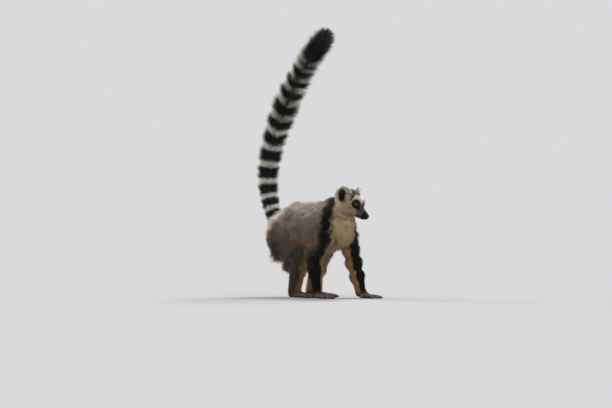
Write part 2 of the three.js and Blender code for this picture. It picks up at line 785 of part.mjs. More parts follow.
// The head, with its eyes, ears and nose.
const headSide = new THREE.Vector3(0.72, 0, 0.69).normalize().transformDirection(headMatrix);
const headPlane = new THREE.Vector3(-15, 0, -10).applyMatrix4(headMatrix);
const skullBox = new THREE.Box3(new THREE.Vector3(-60, -48, -44), new THREE.Vector3(56, 48, 44));
skullBox.applyMatrix4(headMatrix);
let head = surfaceOf(bodyField, skullBox, HEAD_STEP).intersect(halfSpace(headPlane, headSide, GAP / 2));
const headClear = surfaceOf(level(bodyField, 2 * GAP), skullBox, HEAD_STEP);
for (const [side, hand] of SIDES) {
  const at = [EYE.at[0], EYE.at[1] * hand, EYE.at[2]];
  const ball = [EYE.radius, EYE.radius, EYE.radius];
  head = head.subtract(headBall(at, ball, 2 * GAP, 9)); // few sides, so it needs more room
  pieces.set(`eye_${side}`, headBall(at, ball, 0, 11));
  pieces.set(`ear_${side}`, largest(ear(hand).transform(headMatrix.toArray()).subtract(headClear)));
}
head = head.subtract(headBall(NOSE.at, NOSE.size, GAP, 9));
pieces.set("nose", headBall(NOSE.at, NOSE.size, 0, 9));
pieces.set("head", largest(head));

// The tail, in a few lengths; the first is let into the rump.
const tailCurve = tailLine();
const tailStep = TAIL.length / TAIL.lengths;
for (let n = 0; n < TAIL.lengths; n++) {
  const from = n * tailStep + (n > 0 ? GAP / 2 : 0);
  const to = (n + 1) * tailStep - (n < TAIL.lengths - 1 ? GAP / 2 : 0);
  pieces.set(`tail_${n + 1}`, tailLength(tailCurve, from, to, 0));
}

// The trunk and the neck, less the limbs and the root of the tail.
let trunk = upperBody;
for (const each of sleeves) trunk = trunk.subtract(each);
trunk = trunk.subtract(tailLength(tailCurve, -GAP, tailStep, GAP));
const awayFromHead = trunk.intersect(halfSpace(headPlane, headSide.clone().negate(), GAP / 2));
const [neckPoint, neckSide] = [new THREE.Vector3(62, 0, 262), new THREE.Vector3(1, 0, 0.75).normalize()];
const [forward, rearward] = [new THREE.Vector3(1, 0, 0), new THREE.Vector3(-1, 0, 0)];
const [ribs, loins] = TRUNK_CUTS.map((x) => new THREE.Vector3(x, 0, 0));
pieces.set("neck", largest(awayFromHead.intersect(halfSpace(neckPoint, neckSide, GAP / 2))));
const body = awayFromHead.intersect(halfSpace(neckPoint, neckSide.clone().negate(), GAP / 2));
pieces.set("chest", largest(body.intersect(halfSpace(ribs, forward, GAP / 2))));
const aft = body.intersect(halfSpace(ribs, rearward, GAP / 2));
pieces.set("belly", largest(aft.intersect(halfSpace(loins, forward, GAP / 2))));
pieces.set("rump", largest(aft.intersect(halfSpace(loins, rearward, GAP / 2))));

// ---- The finished group ---------------------------------------------------------------------------------
const COLOURS = {
  grey: [0x6f6761, 0.9],
  dark: [0x2b2724, 0.9],
  cream: [0xc9b79c, 0.9],
  white: [0xdcd6cc, 0.9],
  black: [0x17161a, 0.55],
  amber: [0x8a4a1c, 0.15],
};
const COLOUR_OF = [
  [/^eye/, "amber"],
  [/^nose|^finger|^toe/, "black"],
  [/^ear/, "white"],
  [/^head|^hand|^foot/, "cream"],
  [/^neck|arm/, "dark"],
  [/./, "grey"],
];
const materials = Object.fromEntries(
  Object.entries(COLOURS).map(([name, [color, roughness]]) => [
    name,
    new THREE.MeshStandardMaterial({ name, color, roughness, metalness: 0 }),
  ]),
);

// The origin is on the floor, in the middle of the whole outline.
const outline = [...pieces.values()].map((solid) => solid.boundingBox());
const middleOf = (axis) =>
  (Math.min(...outline.map((box) => box.min[axis])) + Math.max(...outline.map((box) => box.max[axis]))) / 2;
const toOrigin = [-middleOf(0), -middleOf(1), 0];

const lemur = new THREE.Group();
for (const [name, solid] of pieces) {
  const made = solid.translate(toOrigin).getMesh();
  const geometry = new THREE.BufferGeometry()
    .setAttribute("position", new THREE.BufferAttribute(new Float32Array(made.vertProperties), 3))
    .setIndex(new THREE.BufferAttribute(new Uint32Array(made.triVerts), 1));
  geometry.computeVertexNormals();
  const mesh = new THREE.Mesh(geometry, materials[COLOUR_OF.find(([pattern]) => pattern.test(name))[1]]);
  mesh.name = name;
  lemur.add(mesh);
}

export default lemur;
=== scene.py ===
"""A life-size museum model of a ring-tailed lemur, standing on four feet with its tail raised.

The skin is one closed surface, worked out from a smooth field of swept ellipses. The coat is solid mesh:
thin closed locks that grow from the skin and lie along it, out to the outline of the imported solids.
Lengths in the classes are millimetres in the animal's own frame, +X ahead, +Y to its left, +Z up. They
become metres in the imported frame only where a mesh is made.
"""

import logging
import math
from collections.abc import Callable, Sequence
from dataclasses import dataclass, field
from enum import Enum, IntEnum
from functools import partial

import bpy
import numpy as np
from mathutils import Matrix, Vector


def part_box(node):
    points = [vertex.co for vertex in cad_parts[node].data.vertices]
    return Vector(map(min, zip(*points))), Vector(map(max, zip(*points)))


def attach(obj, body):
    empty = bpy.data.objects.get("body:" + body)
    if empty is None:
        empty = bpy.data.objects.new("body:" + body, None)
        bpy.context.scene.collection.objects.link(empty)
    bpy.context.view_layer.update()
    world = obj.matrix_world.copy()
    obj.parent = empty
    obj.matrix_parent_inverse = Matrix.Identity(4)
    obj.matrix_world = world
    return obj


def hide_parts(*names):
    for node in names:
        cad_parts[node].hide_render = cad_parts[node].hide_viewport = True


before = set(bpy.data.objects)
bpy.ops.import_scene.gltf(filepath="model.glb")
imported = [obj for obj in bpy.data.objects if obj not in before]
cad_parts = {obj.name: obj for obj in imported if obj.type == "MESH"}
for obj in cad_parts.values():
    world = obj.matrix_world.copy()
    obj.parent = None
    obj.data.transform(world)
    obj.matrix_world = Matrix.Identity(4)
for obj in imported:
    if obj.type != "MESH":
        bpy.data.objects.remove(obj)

Array = np.ndarray
Triple = tuple[float, float, float]

LOG = logging.getLogger("lemur")
MM = 0.001
MARKS = "Markings"  # colour attribute of the coat and the skin
BARE = "Bare"  # attribute of the skin: 1 where it is naked leather
FAR = 34.0  # a shape further away than this has no say in a blend


# ---- Small helpers ----
def linear(colour: str) -> Array:
    """Turns an sRGB hex colour, six digits after a hash sign, into linear red, green and blue."""
    raw = np.array([int(colour[n : n + 2], 16) / 255 for n in (1, 3, 5)])
    return np.where(raw <= 0.04045, raw / 12.92, ((raw + 0.055) / 1.055) ** 2.4)


def ramp(low: float, high: float, x: Array) -> Array:
    """A soft step: 0 before low, 1 after high, and 3t2 - 2t3 between them; low may be the larger."""
    t = np.clip((x - low) / (high - low), 0.0, 1.0)
    return t * t * (3.0 - 2.0 * t)


def bell(x: Array, middle: float, width: float) -> Array:
    """A bell curve: the exponential of minus the square of the distance from the middle over the width."""
    return np.exp(-(((x - middle) / width) ** 2))


def unit(v: Array) -> Array:
    """Rows of a table of vectors, each made one long."""
    return v / np.maximum(np.linalg.norm(v, axis=-1, keepdims=True), 1e-9)


def laid(v: Array, normal: Array) -> Array:
    """Vectors less their part along the unit normals, so that they lie along the surface."""
    return v - np.einsum("ij,ij->i", v, normal)[:, None] * normal


def folded(q: Array) -> Array:
    """A copy of points, folded onto the left side."""
    return np.stack([q[:, 0], np.abs(q[:, 1]), q[:, 2]], 1)


def out_of(p: Array, at: Triple, size: Triple) -> Array:
    """How far points lie from a place, as a share of a size along each axis."""
    return np.linalg.norm((p - np.asarray(at)) / np.asarray(size), axis=1)


def round_share(a: Array, b: Array) -> Array:
    """The angle whose sine and cosine go as a and b, as a share of a turn from 0 to 1."""
    return np.arctan2(a, b) / (2 * math.pi) + 0.5


def blended(a: Array, b: Array, corner: float) -> Array:
    """Two distances joined with a rounded corner: the smaller, less corner times h(1 - h) near the joint."""
    h = np.clip(0.5 + 0.5 * (b - a) / corner, 0.0, 1.0)
    return b + (a - b) * h - corner * h * (1.0 - h)


def carved(a: Array, b: Array, corner: float) -> Array:
    """What is left of distance a outside distance b, with a rounded edge."""
    return -blended(-a, b, corner)


def ellipsoid_distance(u: Array, v: Array, w: Array, a: Array, b: Array, c: Array) -> Array:
    """About how far a point lies outside an ellipsoid: k(k - 1) over the slope of k.

    Args:
        u, v, w: offsets along its three axes.
        a, b, c: half sizes along them.

    Returns:
        The distance, negative inside.
    """
    ua, vb, wc = u / a, v / b, w / c
    inside = np.sqrt(ua * ua + vb * vb + wc * wc)
    slope = np.sqrt((ua / a) ** 2 + (vb / b) ** 2 + (wc / c) ** 2)
    least = np.minimum(a, np.minimum(b, c))
    return np.where(slope > 1e-9, inside * (inside - 1.0) / np.maximum(slope, 1e-9), -least)


def table(rows: Sequence[Sequence[float]], position: Array) -> Array:
    """Reads a table of [position, value] rows at some positions, straight between its rows."""
    data = np.asarray(rows, float)
    return np.interp(position, data[:, 0], data[:, 1])


def ripple(p: Array, wavelength: float, seed: int) -> Array:
    """A smooth wandering vector at each point: five sine waves in random directions for each component.

    Args:
        p: points.
        wavelength: about how far apart its crests are.
        seed: which waves.

    Returns:
        One vector for each point, its components between about -1 and 1.
    """
    rng = np.random.default_rng(seed)
    waves = unit(rng.normal(size=(3, 5, 3))) * (2 * math.pi / wavelength) * rng.uniform(0.7, 1.5, (3, 5, 1))
    phase = rng.uniform(0, 2 * math.pi, (3, 5))
    return np.stack([np.sin(p @ waves[k].T + phase[k]).sum(1) / 2.2 for k in range(3)], 1)


class Side(IntEnum):
    """A side of the animal, as the sign of Y."""

    RIGHT = -1
    LEFT = 1


class Level(IntEnum):
    """Which surface a field describes: the tips of the coat, or the skin under it."""

    COAT = 0
    SKIN = 1


# ---- Fields ----
class Sweep:
    """An ellipse swept along stations, as a distance field.

    The distance to one length is that to an ellipse whose half sizes run straight from station to
    station, and the lengths are joined with a rounded corner.
    """

    def __init__(self, at: Array, wide: Array, deep: Array, corner: float) -> None:
        """Works out each length's direction and its axes across and up.

        Args:
            at: centres of the stations.
            wide: half sizes towards the animal's side.
            deep: half sizes at right angles to that.
            corner: rounding between the lengths.
        """
        self.at, self.wide, self.deep, self.corner = (np.asarray(at, float), np.asarray(wide, float),
                                                      np.asarray(deep, float), corner)
        run = np.diff(self.at, axis=0)
        self.length = np.linalg.norm(run, axis=1)
        self.ahead = run / self.length[:, None]
        side = np.array([0.0, 1.0, 0.0])
        self.across = unit(side - (self.ahead @ side)[:, None] * self.ahead)
        self.up = np.cross(self.ahead, self.across)
        reach = np.maximum(self.wide, self.deep)[:, None]
        self.low, self.high = (self.at - reach).min(0), (self.at + reach).max(0)

    def distance(self, p: Array) -> Array:
        """How far each point lies outside the sweep.

        Args:
            p: points.

        Returns:
            Distances, negative inside.
        """
        nearest = None
        for n, length in enumerate(self.length):
            off = p - self.at[n]
            reach = off @ self.ahead[n]
            t = np.clip(reach / length, 0.0, 1.0)
            wide = self.wide[n] + (self.wide[n + 1] - self.wide[n]) * t
            deep = self.deep[n] + (self.deep[n + 1] - self.deep[n]) * t
            d = ellipsoid_distance(off @ self.across[n], off @ self.up[n], reach - t * length,
                                   wide, deep, np.minimum(wide, deep))
            nearest = d if nearest is None else blended(d, nearest, self.corner)
        return nearest


class Ball:
    """An ellipsoid in the axes of the frame, as a distance field."""

    def __init__(self, at: Triple, size: Triple, less: float = 0.0) -> None:
        """Keeps the centre and the half sizes, each made smaller by less."""
        self.at, self.size = np.asarray(at, float), np.asarray(size, float) - less
        self.low, self.high = self.at - self.size, self.at + self.size

    def distance(self, p: Array) -> Array:
        """How far each point lies outside the ellipsoid."""
        off = p - self.at
        return ellipsoid_distance(off[:, 0], off[:, 1], off[:, 2], *self.size)


def near(shape: "Sweep | Ball", p: Array) -> Array:
    """A shape's distance where it is near, and the distance to its box where it is far.

    Args:
        shape: what to measure to.
        p: points.

    Returns:
        Distances.
    """
    gap = np.maximum(np.maximum(shape.low - p, p - shape.high), 0.0)
    out = np.sqrt(np.einsum("ij,ij->i", gap, gap))
    close = out < FAR
    if close.any():
        out[close] = shape.distance(p[close])
    return out


# ---- The animal's parts ----
@dataclass(frozen=True)
class Trunk:
    """Rump, belly and chest: place along the body, height, half width and half height of the coat."""

    rows: tuple = ((-145, 168, 34, 36), (-112, 175, 47, 56), (-60, 185, 54, 64), (-8, 182, 58, 66),
                   (44, 184.5, 57, 62.5), (86, 192, 49, 57), (104, 193, 37, 44))
    coat: float = 15.0
    middle: float = 182.0
    haunch_at: Triple = (-111, 24, 158)
    haunch_size: Triple = (40, 33, 50)
    ham_at: Triple = (-65, 27, 105)
    ham_size: Triple = (21, 17, 34)
    ham_thin: float = 0.5  # how deep the coat is on the hams, as a share
    round: float = 20.0  # rounding between the stations

    def shapes(self, level: Level) -> list[Sweep | Ball]:
        """The trunk, both haunches and the hair behind both thighs, at a level.

        Args:
            level: coat or skin.

        Returns:
            The trunk first.
        """
        rows, less = np.asarray(self.rows, float), self.coat * level
        at = np.stack([rows[:, 0], np.zeros(len(rows)), rows[:, 1]], 1)
        masses = ((self.haunch_at, self.haunch_size, less),
                  (self.ham_at, self.ham_size, self.ham_thin * less))
        return [Sweep(at, rows[:, 2] - less, rows[:, 3] - less, self.round)] + [
            Ball((x, y * side, z), size, thin) for (x, y, z), size, thin in masses for side in Side
        ]


@dataclass(frozen=True)
class Neck:
    """Place, half width, half height and coat depth from the shoulders to the head."""

    rows: tuple = ((64, 0, 206, 44, 50, 15), (94, 3, 228, 36, 40, 13), (116, 6, 247, 31, 32, 9))
    round: float = 16.0

    def shape(self, level: Level) -> Sweep:
        """The neck at a level.

        Args:
            level: coat or skin.

        Returns:
            The sweep of its ellipses.
        """
        rows = np.asarray(self.rows, float)
        less = rows[:, 5] * level
        return Sweep(rows[:, :3], rows[:, 3] - less, rows[:, 4] - less, self.round)


@dataclass(frozen=True)
class Digit:
    """A finger or toe: root ahead and inward, heading inward in degrees, length, root and tip radius."""

    ahead: float
    inward: float
    heading: float
    length: float
    root: float
    tip: float

    def line(self, t: Array) -> Array:
        """Its middle line: straight on the ground, with a low arch of half a sine.

        Args:
            t: shares of its length.

        Returns:
            Ahead, inward and up for each share.
        """
        turn = math.radians(self.heading)
        arch = 2.2 * np.sin(math.pi * np.minimum(1.0, t * 1.15))
        up = self.root + 1.2 + (self.tip - 0.5 - self.root - 1.2) * t + arch
        reach = t * self.length
        return np.stack([self.ahead + reach * math.cos(turn), self.inward + reach * math.sin(turn), up], -1)

    def radius(self, t: Array) -> Array:
        """Its radius: straight from root to tip, with a pad like a bell near the end."""
        pad = 1 + 0.14 * bell(t, 0.86, 0.12) - 0.35 * np.maximum(0.0, (t - 0.88) / 0.12) ** 2
        return (self.root + (self.tip - self.root) * t) * pad


@dataclass(frozen=True)
class Paw:
    """A hand or foot: how far it turns out, its chain of forward, sideways, up, half width and half height
    from the wrist or ankle, and its digits, thumb first."""

    turn: float
    chain: tuple
    digits: tuple[Digit, ...]


HAND = Paw(6, ((-2, 0, 14.5, 11.5, 12), (12, 0, 9, 12, 8.5), (27, 0, 5.4, 13.5, 6.5)), (
    Digit(8, 7, 46, 28, 4.3, 3.3), Digit(24, 7, 13, 36, 4.1, 3.1), Digit(26, 2.6, 4, 42, 4.2, 3.1),
    Digit(25, -2.6, -6, 45, 4.2, 3.1), Digit(22, -7, -19, 38, 4, 3)))
FOOT = Paw(4, ((-13, 0, 10.8, 10, 11.5), (14, 0, 9.4, 11, 9.5), (50, 0, 5.8, 14.5, 7)), (
    Digit(17, 6, 42, 42, 5.6, 4.4), Digit(46, 8.4, 12, 33, 4.4, 3.4), Digit(49, 3.4, 3, 38, 4.5, 3.4),
    Digit(48, -3, -6, 42, 4.5, 3.4), Digit(44, -8, -17, 38, 4.3, 3.3)))


@dataclass(frozen=True)
class Limb:
    """A leg: its side, top joint, bone lengths, the swing forward and splay outward of each bone in
    degrees, the coat's half sizes and depth at fractions of the way down, and its paw."""

    side: Side
    at: Triple
    upper: float
    lower: float
    stance: tuple[tuple[float, float], tuple[float, float]]
    coat: tuple
    paw: Paw
    pale: float = 70.0  # degrees round from the outer side, by the front, where its pale side starts
    round: float = 11.0  # rounding between the lengths of the leg
    sole_round: float = 7.0
    digit_round: float = 1.2
    digit_rows: int = 7

    def joints(self) -> Array:
        """Shoulder or hip, elbow or knee, wrist or ankle.

        Returns:
            Three points, from the top down.
        """
        points = [np.array([self.at[0], self.at[1] * self.side, self.at[2]])]
        for length, (swing, splay) in zip((self.upper, self.lower), self.stance):
            a, b = math.radians(swing), math.radians(splay)
            way = [math.sin(a) * math.cos(b), self.side * math.sin(b), -math.cos(a) * math.cos(b)]
            points.append(points[-1] + length * np.array(way))
        return np.array(points)

    def leg(self, level: Level) -> Sweep:
        """The leg down to the wrist or ankle, at a level.

        Args:
            level: coat or skin.

        Returns:
            The sweep of its ellipses.
        """
        joints, rows = self.joints(), np.asarray(self.coat, float)
        bend = self.upper / (self.upper + self.lower)
        f = np.unique(np.append(rows[:, 0], bend))
        at = np.stack([np.interp(f, [0, bend, 1], joints[:, k]) for k in range(3)], 1)
        wide, deep, less = (np.interp(f, rows[:, 0], rows[:, k]) for k in (1, 2, 3))
        return Sweep(at, wide - less * level, deep - less * level, self.round)

    def axes(self) -> tuple[Array, Array, Array]:
        """The paw's own frame: the floor under the wrist or ankle, its forward way and its inward way.

        Returns:
            A point and two unit vectors.
        """
        joint, hand = self.joints()[2], self.side
        heading = math.radians(self.paw.turn) * hand
        ahead = np.array([math.cos(heading), math.sin(heading), 0.0])
        inward = np.array([hand * math.sin(heading), -hand * math.cos(heading), 0.0])
        return np.array([joint[0], joint[1], 0.0]), ahead, inward

    def placed(self, rows: Array) -> Array:
        """Points of the paw, from rows of ahead, inward and up."""
        at, ahead, inward = self.axes()
        return at + rows[:, :1] * ahead + rows[:, 1:2] * inward + rows[:, 2:3] * np.array([0.0, 0.0, 1.0])

    def sole(self) -> Sweep:
        """The wrist or ankle and the palm."""
        rows = np.asarray(self.paw.chain, float)
        return Sweep(self.placed(rows[:, :3]), rows[:, 3], rows[:, 4], self.sole_round)

    def digit(self, which: Digit, less: float) -> Sweep:
        """One finger or toe, thinner by less.

        Args:
            which: the digit.
            less: how much thinner.

        Returns:
            Its sweep.
        """
        t = np.linspace(0, 1, self.digit_rows)
        radius = which.radius(t) - less
        return Sweep(self.placed(which.line(t)), radius, radius, self.digit_round)

    def way_down(self, p: Array) -> tuple[Array, Array, Array]:
        """Where points lie on the leg.

        Args:
            p: points.

        Returns:
            The fraction of the way down, the direction down the nearer bone, and the offset from the bone.
        """
        joints = self.joints()
        bend = self.upper / (self.upper + self.lower)
        best, out = None, None
        for n, (start, share) in enumerate(((0.0, bend), (bend, 1 - bend))):
            run = joints[n + 1] - joints[n]
            t = np.clip(((p - joints[n]) @ run) / (run @ run), 0, 1)
            off = p - joints[n] - t[:, None] * run
            d = np.linalg.norm(off, axis=1)
            here = (start + share * t, np.broadcast_to(unit(run), p.shape), off)
            if best is None:
                best, out = d, here
                continue
            closer = d < best
            out = tuple(np.where(closer if a.ndim == 1 else closer[:, None], a, b) for a, b in zip(here, out))
        return out


FORE_COAT = ((0, 25, 32, 14), (0.24, 20.5, 23.5, 10.5), (0.48, 18, 21, 8), (0.72, 17.5, 20, 7),
             (1, 13, 14, 4.5))
HIND_COAT = ((0, 31, 43, 15), (0.2, 31, 43, 14), (0.5, 23.5, 31, 10.5), (0.72, 19, 25.5, 8.5),
             (1, 15, 19.5, 5.5))
LIMBS = {
    "fore_right": Limb(Side.RIGHT, (92, 35, 165), 73, 81, ((-36, 6), (9, 1)), FORE_COAT, HAND, 92.0),
    "fore_left": Limb(Side.LEFT, (92, 35, 165), 73, 81, ((1.5, 15), (17.5, 3)), FORE_COAT, HAND, 135.0),
    "hind_right": Limb(Side.RIGHT, (-104, 27, 178), 108, 104, ((55.5, 6), (-19.5, -5)), HIND_COAT, FOOT),
    "hind_left": Limb(Side.LEFT, (-104, 27, 178), 108, 104, ((57, 5), (-23, 0)), HIND_COAT, FOOT),
}


@dataclass(frozen=True)
class Tail:
    """The tail: where it starts inside the rump, its length, its lean from upright, how far it sways, and
    the radius of the coat and of the bare core along it."""

    root: Triple = (-142, 0, 165)
    length: float = 636.0
    lean: tuple = ((0, -27), (63, -27), (126, -9), (176, 6), (230, 16), (321, 27.5), (400, 35), (480, 41),
                   (560, 49.5), (636, 52))
    sway: float = -3.0
    coat: tuple = ((0, 22), (60, 22.5), (150, 29), (250, 33), (345, 35.5), (400, 33.5), (470, 31),
                   (560, 30.5), (602, 27), (625, 17), (636, 5))
    core: tuple = ((0, 11), (60, 8.5), (250, 6.5), (560, 3.6), (616, 2.6), (622, 1.6))
    ends: float = 618.0  # where the core ends
    step: float = 2.0  # between the points of its middle line

    def line(self) -> tuple[Array, Array]:
        """Its middle line, found by adding up short steps at its lean.

        Returns:
            Distances along it, and the points there.
        """
        step = self.step
        s = np.arange(0, self.length + step, step)
        lean = np.radians(table(self.lean, s[:-1] + step / 2))
        x = self.root[0] + np.append(0, np.cumsum(step * np.sin(lean)))
        z = self.root[2] + np.append(0, np.cumsum(step * np.cos(lean)))
        y = self.sway * np.sin(2 * math.pi * np.maximum(s - step, 0) / self.length)
        return s, np.stack([x, y, z], 1)

    def place(self, p: Array) -> tuple[Array, Array, Array]:
        """Where points lie on the tail: their height gives a first guess, then three steps along its line.

        Args:
            p: points.

        Returns:
            The distance along the tail, the way it runs there, and the offset from its line.
        """
        steps, points = self.line()
        runs = np.gradient(points, steps, axis=0)
        s = np.interp(p[:, 2], points[:, 2], steps)

        def here(rows: Array) -> Array:
            """A table with a row for each step, read at the places found so far."""
            return np.stack([np.interp(s, steps, rows[:, k]) for k in range(3)], 1)

        for _ in range(3):
            run = unit(here(runs))
            s = np.clip(s + np.einsum("ij,ij->i", p - here(points), run), 0, self.ends)
        return s, run, p - here(points)

    def distance(self, p: Array, level: Level) -> Array:
        """How far points lie outside the tail at a level."""
        s, _, off = self.place(p)
        return np.linalg.norm(off, axis=1) - table(self.coat if level is Level.COAT else self.core, s)


@dataclass(frozen=True)
class Ear:
    """A cupped ear in the head's frame: a round-tipped leaf whose fur is thick behind and thin in front."""

    at: Triple = (-18, 32, 17)
    half_height: float = 26.0
    half_width: float = 25.0
    cup: float = 8.5
    rim: float = 4.2
    wall: float = 9.0
    along: Triple = (-0.2, 0.42, 0.88)
    faces: Triple = (0.66, 0.72, 0.22)
    fringe: float = 4.0  # how much further the coat reaches than the edge of the skin
    leather: float = 2.6  # thickness of the skin
    down: float = 1.0  # depth of the hair in the hollow
    slack: float = 1.4  # how far behind the hollow's surface a point still counts as in front
    pit_at: Triple = (1, -5, 3)  # across, along and out of the hollow
    pit_size: Triple = (10, 15, 11)
    edge: float = 2.0  # rounding of the rim

    def leaf(self, q: Array, level: Level) -> tuple[Array, Array, Array, Array]:
        """Points in the ear's own axes.

        Args:
            q: points in the head's frame, folded onto the left side.
            level: coat or skin.

        Returns:
            The share of the way from its middle to its edge, then across, along and out of the hollow.
        """
        along = unit(np.asarray(self.along))
        faces = np.asarray(self.faces)
        faces = unit(faces - (faces @ along) * along)
        off = q - np.asarray(self.at, float)
        x, y, d = off @ np.cross(along, faces), off @ along, off @ faces
        less = self.fringe * level
        wide, high = self.half_width - less, self.half_height - less
        share = np.hypot(x / wide, y / high)
        for _ in range(3):
            up = np.clip(y / (high * np.maximum(share, 0.2)), 0, 1)
            share = np.hypot(x / (wide * (1 - 0.24 * up * up)), y / high)
        return share, x, y, d

    def pit(self, q: Array) -> Array:
        """How far folded points lie from the middle of the pit at the ear's foot, as a share of its size."""
        place = self.leaf(q, Level.COAT)[1:]
        return np.sqrt(sum(((v - at) / size) ** 2 for v, at, size in zip(place, self.pit_at, self.pit_size)))

    def in_front(self, share: Array, d: Array) -> Array:
        """Which points lie on the hollow's side, from their share of the way out and their height."""
        return d > -self.cup * (1 - np.minimum(share, 1.25) ** 2) + self.rim / 2 - self.down - self.slack

    def distance(self, q: Array, level: Level) -> Array:
        """About how far folded points lie outside the ear: the furthest out of its front, back and edge.

        Args:
            q: folded points in the head's frame.
            level: coat or skin.

        Returns:
            Distances, negative inside.
        """
        share, _, _, d = self.leaf(q, level)
        s2 = np.minimum(share, 1.25) ** 2
        front = -self.cup * (1 - s2) + self.rim / 2
        back = front - (self.wall + (self.rim - self.wall) * np.minimum(s2, 1.0))
        if level is Level.SKIN:
            front = front - self.down
            back = front - self.leather * (1.25 - 0.25 * np.minimum(s2, 1.0))
        body = np.maximum(d - front, back - d) / 1.15
        return carved(body, -(share - 1) * self.half_width, self.edge)


@dataclass(frozen=True)
class Head:
    """The head in its own frame, forward, left and up from the middle of the skull."""

    at: Triple = (145, 9, 249)
    turn: float = 15.0  # degrees to its left
    dip: float = 23.0  # degrees that the nose points down
    skull: tuple = ((-13, 0, 5), (34, 31, 29), 5.2)  # place, half sizes, coat depth
    forehead: tuple = ((8, 0, 7), (18, 23, 16), 2.4)
    cheek: tuple = ((-4, 19, -9), (21, 15, 17), 5.5)
    ruff: tuple = ((-13, 0, -26), (21, 28, 17), 9.0)
    muzzle: tuple = ((6, -3, 20, 18, 3.4), (25, -10, 14.5, 13.5, 2.0), (39, -14, 11, 10.4, 1.3),
                     (49, -15.6, 8.8, 8.6, 0.8))
    chin: tuple = ((0, -18, 13, 9, 3.5), (24, -21.5, 9, 6.5, 1.6), (41, -22.2, 6.5, 5, 1.0))
    eye: Triple = (16, 14.4, 6)
    eye_radius: float = 7.6
    lid: float = 1.3  # thickness of the lids
    eye_gap: float = 0.12  # between the eyeball and the lids
    open_size: tuple[float, float] = (0.73, 0.66)  # the lids' opening, level and upright, in eye radii
    open_lift: float = 0.02  # how far the opening lies above the gaze
    gaze: tuple[float, float] = (37.0, 3.0)  # degrees outward and upward
    nose: Triple = (53.4, 0, -13.2)
    nose_size: Triple = (4.2, 5.6, 4.8)
    nostril: Triple = (56.6, 3.4, -12.4)
    nostril_size: Triple = (2.2, 1.5, 1.15)
    nostril_deep: float = 2.2
    ear: Ear = field(default_factory=Ear)

    def axes(self) -> Array:
        """The head's axes as columns: a turn about the upright, after a dip about the side.

        Returns:
            Three rows of three.
        """
        a, b = math.radians(self.turn), math.radians(self.dip)
        turn = np.array([[math.cos(a), -math.sin(a), 0], [math.sin(a), math.cos(a), 0], [0, 0, 1]])
        dip = np.array([[math.cos(b), 0, math.sin(b)], [0, 1, 0], [-math.sin(b), 0, math.cos(b)]])
        return turn @ dip

    def inside(self, p: Array) -> Array:
        """The animal's points in the head's frame."""
        return (p - np.asarray(self.at, float)) @ self.axes()

    def outside(self, q: Array) -> Array:
        """The head's points in the animal's frame."""
        return np.asarray(q, float) @ self.axes().T + np.asarray(self.at, float)

    def gaze_axes(self) -> Array:
        """The left eye's axes as rows: out of the pupil, level, and up.

        Returns:
            Three unit vectors.
        """
        out, up = (math.radians(v) for v in self.gaze)
        ahead = np.array([math.cos(out) * math.cos(up), math.sin(out) * math.cos(up), math.sin(up)])
        level = unit(np.cross([0.0, 0.0, 1.0], ahead))
        return np.stack([ahead, level, np.cross(ahead, level)])

    def distance(self, p: Array, level: Level) -> Array:
        """How far points lie outside the head and its ears.

        Args:
            p: points in the animal's frame.
            level: coat or skin.

        Returns:
            Distances, negative inside.
        """
        q = folded(self.inside(p))
        bare = level
        skull, *others = (Ball(at, size, less * bare) for at, size, less in
                          (self.skull, self.forehead, self.cheek, self.ruff))
        d = skull.distance(q)
        for ball in others:
            d = blended(d, ball.distance(q), 12.0)
        for rows, corner in ((self.muzzle, 9.0), (self.chin, 5.0)):
            row = np.asarray(rows, float)
            at = np.stack([row[:, 0], 0 * row[:, 0], row[:, 1]], 1)
            shape = Sweep(at, row[:, 2] - row[:, 4] * bare, row[:, 3] - row[:, 4] * bare, 5.0)
            d = blended(d, shape.distance(q), corner)
        if level is Level.SKIN:
            d = carved(self.face(q, d), 8.0 * (self.ear.pit(q) - 1), 3.0)
        return blended(d, self.ear.distance(q, level), 5.0)

    def face(self, q: Array, d: Array) -> Array:
        """Adds lids, sockets, nose, nostrils and mouth to the head's skin.

        A lid is a thin shell round the eyeball, open inside an oval cone round the gaze. A nostril, the
        lip's groove and the crease below the eye push the skin in by a bell of their distance.

        Args:
            q: folded points in the head's frame.
            d: the plain head's distance there.

        Returns:
            The detailed distance.
        """
        off = q - np.asarray(self.eye)
        reach = np.linalg.norm(off, axis=1)
        rise = (off / np.maximum(reach, 1e-6)[:, None]) @ self.gaze_axes()[2]
        d = blended(d, reach - self.eye_radius - self.lid, 3.5)
        d = carved(d, 6.0 * self.opening(q), 0.8)
        d = np.maximum(d, self.eye_radius + self.eye_gap - reach)
        d = d + 0.72 * bell(reach, self.eye_radius + 4.2, 1.3) * ramp(0.2, -0.5, rise)
        d = blended(d, Ball(self.nose, self.nose_size).distance(q), 2.5)
        nostril = out_of(q, self.nostril, self.nostril_size)
        d = d + self.nostril_deep * np.exp(-(nostril**2))
        cleft = np.hypot(q[:, 1] / 0.7, (q[:, 0] - 57.5) / 3.0)
        d = d + 0.7 * np.exp(-(cleft**2)) * ramp(-12.5, -14.5, q[:, 2])
        lip = self.lip(q[:, 0])
        groove = bell(q[:, 2], lip, 0.95) * ramp(14, 20, q[:, 0]) * ramp(-16.5, -18, q[:, 2])
        return d + 1.25 * groove

    def opening(self, q: Array) -> Array:
        """How far outside the lids' opening folded points lie, as a share of its size.

        Args:
            q: folded points in the head's frame.

        Returns:
            Shares: negative inside, 0 at the edge.
        """
        way = unit(q - np.asarray(self.eye))
        ahead, level, up = self.gaze_axes()
        wide, high = self.open_size
        outside = np.hypot((way @ level) / wide, (way @ up - self.open_lift) / high) - 1.0
        return np.where(way @ ahead > 0, outside, 1.5)

    @staticmethod
    def lip(x: Array) -> Array:
        """The height of the mouth's line at each place along the muzzle: straight, rising to the nose."""
        return -23.0 + 0.155 * (x - 24.0)


